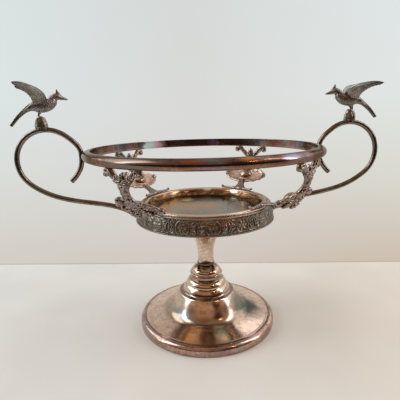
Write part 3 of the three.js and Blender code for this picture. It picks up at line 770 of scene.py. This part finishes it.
def make_apron():
    columns, rows = ROUNDELS * ROUNDEL_COLUMNS, APRON_ROWS
    low, high = APRON_BOTTOM, APRON_TOP
    angles = np.linspace(0, 2 * math.pi, columns, endpoint=False)
    heights = np.linspace(low + 1.4, high - 1.7, rows)
    pitch = 2 * math.pi / ROUNDELS
    offset = (angles + pitch / 2) % pitch - pitch / 2
    middle = (heights[0] + heights[-1]) / 2
    share = (heights - low) / (high - low)
    base = APRON_WALL - 0.9 * share - 3.0 * share**2
    along = offset[None, :] * APRON_MEAN * np.ones((rows, 1))
    up = (heights - middle)[:, None] * np.ones((1, columns))
    edge = np.minimum(1, np.minimum(heights - heights[0], heights[-1] - heights) / 0.6)
    band = base[:, None] + 0.6 * apron_relief(along, up) * edge[:, None] - 0.2
    below = [(68.0, low), (69.3, low), (69.7, low + 0.5), (69.5, low + 1.1)]
    above = [(66.0, high - 1.5), (66.5, high - 1.2), (66.6, high - 0.7), (66.1, high), (64.4, high)]
    above += [(r - SHEET - 0.6, z) for r, z in zip(base[::-8], heights[::-8])]
    rings = [np.full(columns, r) for r, _ in below] + list(band) + [np.full(columns, r) for r, _ in above]
    levels = [z for _, z in below] + list(heights) + [z for _, z in above]
    points = [
        np.stack([r * np.cos(angles), r * np.sin(angles), np.full(columns, z)], axis=1)
        for r, z in zip(rings, levels)
    ]
    faces = sheet_faces(len(levels), columns, close_rows=True)
    return make_object("apron_stamped_band", np.vstack(points), faces, APRON_FINISH, sharp=60)


# Handles
CONTACT = RING_RADIUS + SEAT + ROD_RADIUS
LOOP_CENTRE = RING_RADIUS + 33.5
LOOP_MIDDLE = RING_MIDDLE - 5.5
LOOP_RADIUS = 29.2
LOOP_START, LOOP_END = 128, -50
TAIL_REACH = 68.2
JOINT_RADIUS = 70.6
ROD_SIDES = 28
ROD_END = 0.86
ROD_INSET = 0.07


def handle_line():
    """The rod's centre line, as (distance from the axis, height)."""
    loop = arc((LOOP_CENTRE, LOOP_MIDDLE), (LOOP_RADIUS, LOOP_RADIUS), LOOP_START, LOOP_END, 90)
    start, end = math.radians(LOOP_START), math.radians(LOOP_END)
    (entry_x, entry_z), (leave_x, leave_z) = loop[0], loop[-1]
    curl = trace(
        (CONTACT + 11.6, RING_MIDDLE - 26.2),
        (CONTACT + 5.8, RING_MIDDLE - 21, CONTACT, RING_MIDDLE - 13.6, CONTACT, RING_MIDDLE - 4.5),
        (CONTACT, RING_MIDDLE),
        (CONTACT, RING_MIDDLE + 8,
         entry_x - 6 * math.sin(start), entry_z + 6 * math.cos(start), entry_x, entry_z),
        count=24,
    )
    span = leave_x - TAIL_REACH
    pull = span * 0.41
    tail = trace(
        (leave_x, leave_z),
        (leave_x + pull * math.sin(end), leave_z - pull * math.cos(end),
         TAIL_REACH + span * 0.265, APRON_BOTTOM + 2.6 + span * 0.22, JOINT_RADIUS, APRON_BOTTOM + 4.4),
        count=60,
    )
    return curl + loop[1:] + tail[1:]


def make_handle(name, side):
    line = np.array(handle_line())
    gaps = np.hypot(*np.diff(line, axis=0).T)
    line = line[np.concatenate([[True], gaps > 0.05])]
    tangents = np.gradient(line, axis=0)
    tangents /= np.hypot(*tangents.T)[:, None]
    points = []
    for index, ((r, z), (run, rise)) in enumerate(zip(line, tangents)):
        radius = ROD_RADIUS * (1 if index else ROD_END)
        for corner in range(ROD_SIDES):
            angle = 2 * math.pi * corner / ROD_SIDES
            out = math.cos(angle) * radius
            points.append((side * (r + rise * out), side * math.sin(angle) * radius, z - run * out))
    obj = make_object(name, points, tube_faces(len(line), ROD_SIDES), ROD_FINISH, sharp=50)
    place, normals = read_mesh(obj)
    write_mesh(obj, place + normals * (0.09 * rough(place, 2.5, 3) - ROD_INSET)[:, None])
    return obj


# Supports, drawn with their middle plane through +X and the long leg toward +Y, where the handle is.
# Each place is (degrees round the axis, 1 or -1 for the mirror image, degrees to the short leg's end).
SUPPORT_PLACES = {
    "support_back_right": (51.5, -1, -12.5),
    "support_back_left": (138.0, 1, -12.5),
    "support_front_left": (229.5, -1, 0.0),
    "support_front_right": (316.5, 1, -12.5),
}
TILT_DEGREES = 37
PLATE_TILT = math.radians(TILT_DEGREES)
PLATE_RADIUS = DISH_RADIUS + 28.2
PLATE_HEIGHT = FLANGE_TOP + 12.4
PLATE_WIDTH = 50
PLATE_LENGTH = 24
PLATE_EDGE = 1.0
STEM_LINE = RING_RADIUS - RING_DEPTH
STEM_LEAF_TILT = math.radians(80)
ARM_TOP = 14.5
SCROLL_RADIUS = 2.6
SCROLL_DROP = 4.4
NECK_TURN = 7
LONG_LEG = 23
BERRY_PLACE = PLATE_WIDTH / 2 - 1.5
LEAF_PLACE = (PLATE_LENGTH * 0.54, 10)


def on_plate(along, across, above):
    """A place given along the plate's slope, across it and above its inner face."""
    radius = PLATE_RADIUS + along * math.cos(PLATE_TILT) - above * math.sin(PLATE_TILT)
    height = PLATE_HEIGHT + along * math.sin(PLATE_TILT) + above * math.cos(PLATE_TILT)
    return (radius, across, height)


def on_flange(degrees, lift, inset):
    angle = math.radians(degrees)
    reach = DISH_RADIUS - inset
    return (reach * math.cos(angle), reach * math.sin(angle), FLANGE_TOP + FLANGE_CREST + lift)


def plate_rim(hollow):
    return PLATE_EDGE * min(1, 3 * math.sqrt(max(hollow, 0)))


def plate_depth(hollow):
    return plate_rim(hollow) + 5.6 * max(hollow, 0) ** 3


def leaf_plate():
    """An oval leaf, dished and plain inside, fluted outside, with a scalloped edge on the handle's side."""
    columns, rows = 180, 44
    points = []
    for row in range(rows + 1):
        polar = math.pi * row / rows
        reach = math.sin(polar)
        hollow = 1 - reach * reach
        for column in range(columns):
            angle = 2 * math.pi * column / columns
            scallop = 0.07 if math.sin(angle) > -0.2 else 0.02
            lobe = 1 + scallop * (abs(math.cos(7.5 * angle)) - 0.4) * reach**2
            along = math.cos(angle) * reach * lobe * PLATE_LENGTH / 2
            across = math.sin(angle) * reach * lobe * PLATE_WIDTH / 2
            if polar < math.pi / 2:
                lift = plate_rim(hollow) - 1.2 * hollow + 0.35 * bell(reach - 0.9, 0.05)
            else:
                lift = -plate_depth(hollow) - 0.4 * math.cos(15 * angle) * reach * min(1, hollow * 5)
            points.append(on_plate(along, across, lift))
    return np.array(points), sheet_faces(rows + 1, columns)


def leaflet(place, length, width, thick, heading, tilt=PLATE_TILT):
    """A small pointed leaf with a raised midrib, laid on a slope."""
    def leaf(x, y, z):
        midrib = 0.35 * thick * bell(y, 0.3) * (1 if z > 0 else 0)
        return (x * length, y * width * (1 - 0.5 * x), z * thick + midrib)

    slope = Matrix.Rotation(-tilt, 4, "Y")
    return sphere(12, 8, Matrix.Translation(Vector(place)) @ slope @ Matrix.Rotation(heading, 4, "Z"), leaf)


def wreath(count, centre, reach, above, radii, columns, rows, start=0.0, tilt=0):
    """Small balls set round a place on the plate."""
    forms = []
    for step in range(count):
        angle = 2 * math.pi * step / count + start
        along, across = centre[0] + reach[0] * math.cos(angle), centre[1] + reach[1] * math.sin(angle)
        forms.append(ball(on_plate(along, across, above), radii, columns, rows, tilt))
    return forms


def flower(along, across, above, size):
    """Five petals round a button, facing down the outer side of the plate."""
    petal = (size * 0.62, size * 0.62, size * 0.45)
    button = ball(on_plate(along, across, above - size * 0.3), (size * 0.4, size * 0.4, size * 0.45), 10, 8)
    petals = wreath(5, (along, across), (size, size), above, petal, 12, 8, start=0.3, tilt=-TILT_DEGREES)
    return petals + [button]


def foliage():
    """Leaflets and flowers over the outer side of the plate, the stem and the arms."""
    forms = flower(-1.0, 1.0, -6.8, 3.2) + flower(0.5, 12.5, -4.0, 3.0) + flower(-0.5, -12.0, -4.0, 3.0)
    golden = math.radians(137.5)
    for index in range(64):
        reach = math.sqrt((index + 0.5) / 64) * 0.94
        along = math.cos(index * golden) * reach * PLATE_LENGTH / 2
        across = math.sin(index * golden) * reach * PLATE_WIDTH / 2
        place = on_plate(along, across, 0.1 - plate_depth(1 - reach * reach))
        size = 2.3 + 0.7 * math.sin(index * 2.1)
        heading = math.atan2(across, along) + 0.7 * math.sin(index * 1.3)
        forms.append(leaflet(place, size, size * 0.45, 0.95, heading))
    for index in range(22):
        share = index / 21
        height = PLATE_HEIGHT + 7 + share * (RING_BOTTOM - 9 - PLATE_HEIGHT - 7)
        side = -1 if index % 2 else 1
        across = (2.4 + 4.5 * max(0.0, share - 0.55)) * side * (0.6 + 0.4 * math.sin(index * 1.9))
        place = (STEM_LINE + 2.4 - 5.4 * (1 - share) ** 2, across, height)
        forms.append(leaflet(place, 2.3, 1.25, 1.0, 1.57 * math.sin(index * 2.3), STEM_LEAF_TILT))
    for side in (-1, 1):
        for index in range(7):
            share = index / 6
            across = side * (5.5 + share * (ARM_TOP - 5.0) + 1.2 * math.sin(index * 2.6))
            height = RING_BOTTOM - 9.8 + share * 7.2 + 1.1 * math.cos(index * 2.6)
            heading = side * (0.6 + 0.9 * math.sin(index * 2.3))
            forms.append(leaflet((STEM_LINE + 1.9, across, height), 2.5, 1.4, 1.0, heading, STEM_LEAF_TILT))
    return forms


def support_arm(side):
    """An arm of the fork with a ridge on it. Each stop is (across, below the ring, half its thickness)."""
    stops = [
        (5.0, 10.9, 2.0), (8.9, 6.6, 2.1), (ARM_TOP, 1.1, 2.1), (ARM_TOP + 3.7, 2.0, 1.7),
        (ARM_TOP + 4.8, SCROLL_DROP, 1.1),
    ]
    arm = [((STEM_LINE, side * across, RING_BOTTOM - drop), 2.4, half * 1.15) for across, drop, half in stops]
    ridge = [((x + 2.3, y, z + 0.5), 0.8, 0.7) for (x, y, z), _, _ in arm[:4]]
    return [lofted(arm, 18, 30, (1, 0, 0)), lofted(ridge, 10, 24, (1, 0, 0))]


def scroll(side):
    """A rolled end: a turn and a half of a flat strip with its axis along the radius, and two buttons."""
    x, y, z = STEM_LINE, side * (ARM_TOP + SCROLL_RADIUS * 1.1), RING_BOTTOM - SCROLL_DROP
    strip = []
    for step in range(28):
        angle = math.radians(70 - 20 * step)
        reach = 2.3 - 1.6 * step / 27
        strip.append(((x, y + side * reach * math.cos(angle), z + reach * math.sin(angle)), 2.4, 0.7))
    buttons = [ball((x, y, z), radii, 14, 10) for radii in ((2.9, 1.25, 1.25), (1.9, 2.1, 2.1))]
    return [lofted(strip, 12, 54, (1, 0, 0))] + buttons


def support_legs(short_leg):
    """The neck and its two legs, each of which ends in a curl.

    A leg's stop is (share of the way to its end, lift, inset, half its height, half its width)."""
    top = on_plate(-PLATE_LENGTH * 0.4, 0, -0.4)
    foot = on_flange(NECK_TURN, 1.4, 2.8)
    middle = tuple((a + b) / 2 for a, b in zip(top, foot))
    forms = [lofted([(top, 4.1, 1.7), (middle, 4.0, 1.4), (foot, 6.9, 1.3)], 24, 18, (0, 1, 0))]
    stops = (
        (0.0, 1.4, 2.8, 1.4, 2.1), (0.4, 1.2, 2.0, 1.3, 1.8), (0.9, 1.2, 1.8, 1.1, 1.3),
        (1.0, 1.9, 1.8, 1.0, 1.1), (0.97, 2.8, 1.8, 0.8, 0.8),
    )
    for end in (short_leg, LONG_LEG):
        leg = []
        for share, lift, inset, high, wide in stops:
            leg.append((on_flange(NECK_TURN + (end - NECK_TURN) * share, lift, inset), high, wide))
        forms.append(lofted(leg, 16, 40, (0, 0, 1)))
        forms.append(ball(on_flange(end, 2.2, 1.9), (1.5, 1.5, 1.5), 14, 10))
    return forms


def support_stem():
    x, _, z = on_plate(PLATE_LENGTH * 0.3, 0, -0.8)
    rise = RING_BOTTOM - 9.5 - z
    run = STEM_LINE - x
    stations = [
        ((x, 0, z), 7.1, 3.0),
        ((x + run * 0.55, 0, z + rise * 0.28), 4.3, 2.7),
        ((x + run * 0.92, 0, z + rise * 0.62), 4.4, 2.6),
        ((STEM_LINE, 0, z + rise), 8.4, 2.5),
    ]
    return lofted(stations, 32, 30, (0, 1, 0))


def support_forms(short_leg):
    forms = [
        leaf_plate(),
        support_stem(),
        ball(on_plate(0, 0, 0), (6.4, 7.9, 5.0), 32, 20, tilt=-TILT_DEGREES),
        ball((STEM_LINE, 0, RING_BOTTOM - 6.4), (2.1, 2.6, 4.0), 20, 14),
        ball((STEM_LINE + 1.4, -1.4, RING_BOTTOM - 6.0), (1.6, 1.4, 3.4), 14, 10),
        ball((STEM_LINE + 1.4, 1.5, RING_BOTTOM - 6.6), (1.6, 1.3, 3.0), 14, 10),
        ball(on_plate(*LEAF_PLACE, -1.5), (3.3, 3.3, 3.3), 20, 14),
    ]
    forms += wreath(7, LEAF_PLACE, (2.1, 2.1), -1.9, (1.7, 1.7, 1.9), 12, 8)
    forms += wreath(14, (6.4, 10.6), (2.2, 3.3), 0.2, (0.9, 0.9, 0.7), 10, 6)
    for side in (-1, 1):
        berry = side * BERRY_PLACE
        forms += support_arm(side) + scroll(side)
        forms.append(ball(on_plate(0, berry, 0), (2.9, 2.9, 2.9), 18, 12))
        forms += wreath(6, (0, berry), (1.9, side * 1.9), 1.6, (1.0, 1.0, 1.0), 10, 8)
    return forms + support_legs(short_leg) + foliage()


def make_support_shape(short_leg):
    """One casting, with marks for its plain faces and bosses and with knobs over its relief."""
    points, faces = gather(support_forms(short_leg))
    obj = make_object("support_master", points, faces, CAST_FINISH)
    fuse(obj, voxel=0.34, repeats=2)
    place, normals = read_mesh(obj)
    outward = np.array([math.sin(PLATE_TILT), 0, -math.cos(PLATE_TILT)])
    uphill = np.array([math.cos(PLATE_TILT), 0, math.sin(PLATE_TILT)])
    facing = normals @ outward
    shaft = np.clip((place[:, 2] - PLATE_HEIGHT - 6) / 4, 0, 1) * np.clip(normals[:, 0] - 0.1, 0, 1)
    cover = np.maximum(np.clip(facing, 0, 1), shaft)
    offset = place - np.array(on_plate(0, 0, 0))
    above = offset @ -outward
    along = offset @ uphill
    inside = np.hypot(along * 2 / PLATE_LENGTH, offset[:, 1] * 2 / PLATE_WIDTH) < 1.05
    plain = np.clip((-facing - 0.3) / 0.3, 0, 1) * inside * np.clip((1.5 - above) / 0.4, 0, 1)
    boss = inside * np.clip((above - 1.3) / 0.5, 0, 1) * (np.hypot(along, offset[:, 1]) < 9)
    for name, values in (("plain_face", plain), ("boss_face", boss)):
        obj.data.attributes.new(name, "FLOAT", "POINT").data.foreach_set("value", values)
    knobs = rough(place, 1.7, 1) * 0.62 + rough(place, 0.8, 2) * 0.25
    place = place + normals * (cover * knobs)[:, None]
    under_ring = place[:, 0] > STEM_LINE - 4
    place[:, 2] = np.where(under_ring, np.minimum(place[:, 2], RING_BOTTOM - SEAT), place[:, 2])
    rest = FLANGE_TOP + FLANGE_CREST + 0.2
    above_flange = np.hypot(place[:, 0], place[:, 1]) < DISH_RADIUS + 0.5
    place[:, 2] = np.where(above_flange, np.maximum(place[:, 2], rest), place[:, 2])
    write_mesh(obj, place)
    return obj


def make_supports():
    lengths = {short_leg for _, _, short_leg in SUPPORT_PLACES.values()}
    masters = {short_leg: make_support_shape(short_leg) for short_leg in sorted(lengths)}
    for node, (angle, side, short_leg) in SUPPORT_PLACES.items():
        mesh = masters[short_leg].data.copy()
        mesh.transform(Matrix.Rotation(math.radians(angle), 4, "Z") @ Matrix.Diagonal((1, side, 1, 1)))
        if side < 0:
            mesh.flip_normals()
        dress(add_object(node + "_casting", mesh), "cast_silver", node)
    for master in masters.values():
        bpy.data.objects.remove(master)


# Birds, drawn facing +X with the foot of the perch at the origin.
# Each place is (distance along X, degrees turned, degrees that the wings are let down).
BIRD_PLACES = {"right": (148, 175, 16), "left": (-151.3, 18, 0)}
PERCH_BASE = LOOP_MIDDLE + LOOP_RADIUS + ROD_RADIUS
PERCH_HEIGHT = 9.1
PERCH_HALF = (6.2, 4.4, 1.0)
FEATHER_ROW = 1.7


def spine_loft(stations, sides, steps):
    """A form on the bird's middle plane. Each station is (forward, up, half its width, half its depth)."""
    return lofted([((x, 0, z), wide, deep) for x, z, wide, deep in stations], sides, steps, (0, 1, 0))


def bird_forms():
    trunk = [
        (-25.6, 1.9, 2.0, 1.3), (-18.6, 10, 2.3, 1.6), (-11.5, 15.9, 2.7, 2.2), (-5.5, 18.6, 3.8, 4.0),
        (0.5, 18.8, 5.0, 5.7), (6.5, 19.9, 5.2, 5.6), (10.8, 22.3, 4.5, 4.8), (12.9, 25.9, 3.4, 3.7),
        (16.4, 27.3, 2.9, 3.0), (20, 26.2, 1.9, 1.9), (25.5, 24.8, 0.6, 0.55),
    ]
    crest = [(17.9, 27.5, 1.2, 2.7), (16.8, 31, 0.9, 1.7), (16.3, 34.1, 0.5, 0.5)]
    forms = [spine_loft(trunk, 28, 90), spine_loft(crest, 16, 16), ball((14.6, 0, 27.2), (3.4, 3.1, 3.3))]
    for side in (-1, 1):
        stops = ((0.5, 1.9, 15, 1.9), (-1.2, 1.8, 11.6, 1.0), (-1.4, 1.8, 9.4, 0.8))
        leg = [((x, side * y, z), thick, thick) for x, y, z, thick in stops]
        forms.append(lofted(leg, 12, 12, (0, 1, 0)))
        forms.append(ball((17.3, side * 2.45, 27.8), (0.75, 0.5, 0.75), 10, 8))
        for toe in (-1, 0, 1):
            forms.append(ball((-0.4 + 1.1 * abs(toe), side * 1.8 + toe * 0.9, 9.6), (1.3, 0.5, 0.5), 10, 6))
    return forms


def make_bird_body(name, node, matrix):
    """The body, with rows of small feathers on its trunk and quills on its tail."""
    points, faces = gather(bird_forms())
    obj = make_object(name, points, faces, BIRD_FINISH)
    fuse(obj, voxel=0.26, repeats=2)
    place, normals = read_mesh(obj)
    x, y, z = place.T
    shift = (np.floor(x / FEATHER_ROW) % 2) * 0.5
    girth = np.arctan2(z - 19, y) * 3.2
    tip = (x / FEATHER_ROW) % 1
    scale = np.abs(((girth + shift) % 1) - 0.5) * 2
    feathers = 0.32 * np.clip(1 - tip - 0.6 * scale**2, -0.4, 1)
    trunk = np.clip((x + 8) / 3, 0, 1) * np.clip((13.5 - x) / 3, 0, 1) * np.clip((z - 12) / 2, 0, 1)
    quills = np.clip((-6 - x) / 3, 0, 1) * 0.28 * np.cos(y * 4.2)
    fleck = 0.1 * rough(place, 0.9, 4)
    write_mesh(obj, place + normals * (trunk * feathers + quills + fleck)[:, None])
    obj.data.transform(matrix)
    return dress(obj, "bird_silver", node)


# A wing's edges from its root to its tip, and how far it stands off the body at each
WING_FRONT = (
    (6.6, 21.5), (6.7, 26.3), (5.2, 30.3), (1.8, 33.6), (-2.2, 35.8), (-6.4, 37.3), (-11, 38.7),
    (-15.4, 39.1), (-19.0, 38.6),
)
WING_REAR = (
    (-4.9, 20.5), (-5.4, 24.4), (-6.6, 27.4), (-8.4, 30.1), (-10.4, 32.2), (-12.9, 34.0), (-15.4, 35.2),
    (-17.9, 36.3), (-19.4, 38.0),
)
WING_ROOT, WING_TIP = np.array([1.2, 22.6]), np.array([-19.4, 38.4])
WING_ROOT_OUT, WING_TIP_OUT = 3.4, 20.0
WING_STEPS = 110
WING_COLUMNS = 56


def wing_surface(front, rear, s, t, upper):
    """A point of the blade, s along it and t across it, as (forward, up, off the middle plane)."""
    stray = 0.35 * abs(math.sin(math.pi * s * 9)) * (t - 0.9) / 0.1 if t > 0.9 else 0.0
    gap = rear - front
    point = front * (1 - t) + rear * t + gap / max(np.hypot(*gap), 0.1) * stray
    reach = WING_TIP - WING_ROOT
    lean = WING_ROOT_OUT + (WING_TIP_OUT - WING_ROOT_OUT) * ((point - WING_ROOT) @ reach / (reach @ reach))
    body = math.sqrt(max(0.0, 1 - (2 * t - 0.85) ** 2)) if t < 0.93 else 0.35
    thick = 0.55 + 0.5 * body
    middle = lean + 1.5 * math.sin(math.pi * t) * (1 - 0.5 * s)
    quills = 0.22 * math.cos(2 * math.pi * (t * 7 + s * 1.5)) * min(1, 4 * (1 - t) + 0.3)
    if not upper:
        return (*point, middle - thick - quills * 0.4)
    tier = (t * 3.0 + 0.12 * abs(math.sin(math.pi * s * 10))) % 1
    return (*point, middle + thick + quills * 0.7 + (0.3 * tier if t < 0.66 else 0.0))


def make_wing(name, node, matrix, side, fall):
    """A blade between its front and rear edges, with three rows of feathers that end in steps.

    It is let down by fall degrees about its root."""
    down, out = math.sin(math.radians(fall)), math.cos(math.radians(fall))
    fronts, rears = smooth_run(WING_FRONT, WING_STEPS), smooth_run(WING_REAR, WING_STEPS)
    rows, columns = WING_STEPS + 1, WING_COLUMNS
    points = []
    for upper in (True, False):
        for row, (front, rear) in enumerate(zip(fronts, rears)):
            for column in range(columns):
                s, t = row / WING_STEPS, column / (columns - 1)
                forward, height, off = wing_surface(front, rear, s, t, upper)
                away, up = off - WING_ROOT_OUT, height - WING_ROOT[1]
                across = WING_ROOT_OUT + away * out + up * down
                points.append((forward, side * across, WING_ROOT[1] + up * out - away * down))
    grid = sheet_faces(rows, columns, close_columns=False)
    half = rows * columns
    faces = grid + [tuple(i + half for i in reversed(face)) for face in grid]
    border = [r * columns for r in range(rows)] + [(rows - 1) * columns + c for c in range(1, columns)]
    border += [r * columns + columns - 1 for r in range(rows - 2, -1, -1)] + list(range(columns - 2, 0, -1))
    faces += [(a, b, b + half, a + half) for a, b in zip(border, border[1:] + border[:1])]
    obj = make_object(name, points, faces, BIRD_FINISH, sharp=70)
    obj.data.transform(matrix)
    return dress(obj, "bird_silver", node)


def make_perch(name, node, x):
    """A grooved and knotted stump that sits over the rod."""
    outline = [(0, -ROD_RADIUS)] + trace(
        (0.93, -ROD_RADIUS),
        (0.97, -0.6),
        (1.0, 0.4),
        (1.0, PERCH_HEIGHT * 0.62, 0.55, PERCH_HEIGHT),
        (0, PERCH_HEIGHT),
        count=16,
    )
    points, faces = turned(outline, 72)
    obj = make_object(name, points * np.array(PERCH_HALF), faces, BIRD_FINISH)
    fuse(obj, voxel=0.3, repeats=1)
    place, normals = read_mesh(obj)
    knots = 0.3 * rough(place, 3.4, 5) + 0.1 * rough(place, 1.1, 6)
    grooves = 0.12 * np.cos(np.arctan2(place[:, 1], place[:, 0]) * 9 + place[:, 2] * 0.4)
    keep = np.clip(PERCH_HEIGHT - 0.8 - place[:, 2], 0, 1)
    place = place + normals * ((knots + grooves - 0.3) * keep)[:, None]
    place[:, 2] = np.maximum(place[:, 2], -ROD_RADIUS)
    write_mesh(obj, place)
    obj.data.transform(Matrix.Translation(Vector((x, 0, PERCH_BASE)) * MM))
    return dress(obj, "bird_silver", node)


def make_birds():
    for side, (x, yaw, fall) in BIRD_PLACES.items():
        turn = Matrix.Rotation(math.radians(yaw), 4, "Z")
        matrix = Matrix.Translation(Vector((x, 0, PERCH_BASE)) * MM) @ turn
        make_bird_body(f"{side}_bird_casting", f"{side}_bird_body", matrix)
        for wing, mirror in (("right", -1), ("left", 1)):
            node = f"{side}_bird_{wing}_wing"
            make_wing(node + "_blade", node, matrix, mirror, fall)
        make_perch(f"{side}_perch_stump", f"{side}_perch", x)


# Inner pieces keep their solids and get a finish
def finish_inner():
    for node in ("tie_boss", "tie_rod", "tie_washer", "tie_nut"):
        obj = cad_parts[node]
        obj.data.materials.clear()
        obj.data.materials.append(INNER_FINISH)


# Table. Its back edge runs a little aslant, as seen in the photograph, with painted shade in a dark line
# along it. The camera sees it evenly lit, and the metal reflects it as darker toward the front, a painted
# shade.
BACK_SLOPE = 0.1307
BACK_PLACE = 0.149 + 0.006 * BACK_SLOPE
TABLE_SIDE = 4
TABLE_FRONT = -3


def make_floor():
    left, right = -TABLE_SIDE, TABLE_SIDE
    corners = [(left, TABLE_FRONT, 0), (right, TABLE_FRONT, 0)]
    corners += [(x, BACK_PLACE - x * BACK_SLOPE, 0) for x in (right, left)]
    mesh = bpy.data.meshes.new("floor")
    mesh.from_pydata(corners, [], [(0, 1, 2, 3)])
    floor = add_object("floor", mesh)
    finish = Finish("table_top")
    x, y, _ = finish.split()
    sideways = finish.maths("MULTIPLY_ADD", x, 1.2, 0.5)
    shade = finish.ramp(sideways, (0.0, (0.78, 0.81, 0.8)), (1.0, (0.9, 0.835, 0.74)), smooth=False)
    shade = finish.multiply(shade, finish.ramp(finish.cloud(120, detail=2), (0.3, 0.94), (0.7, 1.0)))
    # Painted shade: a dark line along the back edge, where the backdrop meets the table
    back = BACK_PLACE / MM
    edge = finish.between(
        finish.maths("MULTIPLY_ADD", x, BACK_SLOPE, y), 100, 200,
        (back - 5, (1.0, 1.0, 1.0)), (back - 1.5, (0.62, 0.58, 0.54)),
    )
    shade = finish.multiply(shade, edge)
    # Painted shade toward the front, seen by all but camera rays
    depth = finish.maths("MULTIPLY_ADD", y, 5.0, 2.3)
    away = finish.ramp(depth, (0.0, (0.05, 0.035, 0.026)), (1.0, (1.0, 1.0, 1.0)))
    seen = finish.add("ShaderNodeLightPath").outputs["Is Camera Ray"]
    colour = finish.mix(seen, finish.multiply(shade, away), shade)
    mesh.materials.append(finish.shade({"Base Color": colour, "Roughness": 0.6, "Specular IOR Level": 0.15}))


# Background and light
class Sky(Nodes):
    """The room round the table, by direction. Its x, y and z run from 0 to 1.

    The camera sees only the backdrop, and the metal reflects the whole room."""

    def __init__(self):
        world = bpy.data.worlds.new("studio")
        bpy.context.scene.world = world
        world.use_nodes = True
        super().__init__(world.node_tree)
        self.nodes.clear()
        self.way = self.add("ShaderNodeTexCoord").outputs["Generated"]
        parts = self.add("ShaderNodeSeparateXYZ", {0: self.way}).outputs
        self.x, self.y, self.z = [self.spread(part, -1, 1) for part in parts]

    def by_height(self, *stops):
        """A colour for each height of the direction, given from -1 to 1."""
        return self.ramp(self.z, *[((height + 1) / 2, colour) for height, colour in stops], smooth=False)

    def toward(self, way, inner, outer):
        """1 within inner degrees of a direction, falling to 0 at outer degrees."""
        nearness = self.vector("DOT_PRODUCT", self.way, Vector(way).normalized())
        return self.spread(nearness, math.cos(math.radians(outer)), math.cos(math.radians(inner)))


def make_world():
    sky = Sky()
    left = sky.by_height(
        (-0.4, (0.63, 0.58, 0.52)), (-0.15, (0.7, 0.71, 0.68)),
        (0.05, (0.72, 0.78, 0.78)), (0.28, (0.7, 0.77, 0.77)),
    )
    right = sky.by_height(
        (-0.4, (0.59, 0.48, 0.39)), (-0.15, (0.7, 0.69, 0.63)),
        (0.05, (0.75, 0.78, 0.77)), (0.28, (0.74, 0.79, 0.79)),
    )
    middle = sky.by_height(
        (-0.4, (0.64, 0.58, 0.53)), (-0.2, (0.68, 0.67, 0.65)),
        (0.0, (0.7, 0.7, 0.69)), (0.28, (0.67, 0.69, 0.68)),
    )
    backdrop = sky.mix(sky.spread(sky.x, 0.3, 0.52), left, middle)
    backdrop = sky.mix(sky.spread(sky.x, 0.54, 0.77), backdrop, right)
    front = sky.by_height(
        (0.15, (0.035, 0.023, 0.018)), (0.42, (0.54, 0.32, 0.2)),
        (0.7, (0.36, 0.23, 0.15)), (1.0, (0.36, 0.29, 0.25)),
    )
    front = sky.mix(sky.toward((-0.18, -0.71, 0.68), 3, 20), front, (0.4, 0.21, 0.11))
    ceiling = sky.mix(sky.spread(sky.z, 0.45, 0.95), backdrop, (0.46, 0.4, 0.35))
    room = sky.mix(sky.spread(sky.y, 0.25, 0.5), front, ceiling)
    room = sky.mix(sky.toward((0.45, -0.73, 0.515), 9, 18), room, (0.05, 0.017, 0.013))
    seen = sky.add("ShaderNodeLightPath").outputs["Is Camera Ray"]
    back = sky.add("ShaderNodeBackground", {"Color": sky.mix(seen, room, backdrop)})
    sky.add("ShaderNodeOutputWorld", {"Surface": back.outputs[0]})


# On the axis, in the lower half of the stem, in metres
LAMP_AIM = (0, 0, 0.08)


def make_lamp(name, way, distance, size, power, colour):
    """A lamp in a direction from the point that it aims at, at a distance in metres."""
    data = bpy.data.lights.new(name, "AREA")
    data.shape = "RECTANGLE"
    data.size, data.size_y = size
    data.energy = power
    data.color = colour
    lamp = add_object(name, data)
    aim = Vector(LAMP_AIM)
    lamp.location = aim + Vector(way).normalized() * distance
    lamp.rotation_euler = (aim - lamp.location).to_track_quat("-Z", "Y").to_euler()


def make_lights():
    make_lamp("window_left", (-0.84, -0.1, 0.54), 2.1, (0.4, 1.7), 9, (0.93, 0.97, 1.0))
    make_lamp("window_right", (0.83, -0.2, 0.52), 2.1, (0.4, 1.7), 10.5, (0.96, 0.98, 1.0))
    make_lamp("sky_left", (-0.72, 0.2, 0.66), 2.2, (1.9, 1.7), 20, (0.82, 0.92, 1.0))
    make_lamp("sky_right", (0.72, 0.3, 0.62), 2.2, (2.2, 2.0), 10, (0.95, 0.97, 1.0))
    make_lamp("warm_lamp", (0.507, -0.58, 0.64), 1.4, (0.08, 0.08), 0.6, (1.0, 0.55, 0.2))


make_camera()
dress(make_foot(), "foot_silver", "foot_shell")
dress(make_foot_border(), "foot_border_silver", "foot_border")
dress(make_stem(), "stem_silver", "stem_trumpet")
dress(make_collar(), "stem_silver", "stem_collar")
dress(make_dish(), "dish_silver", "dish")
dress(make_apron(), "apron_silver", "apron")
dress(make_ring(), "ring_silver", "bowl_ring")
dress(make_handle("right_handle_rod", 1), "rod_silver", "right_handle")
dress(make_handle("left_handle_rod", -1), "rod_silver", "left_handle")
make_supports()
make_birds()
finish_inner()
make_floor()
make_world()
make_lights()

scene = bpy.context.scene
scene.view_settings.view_transform = "Standard"
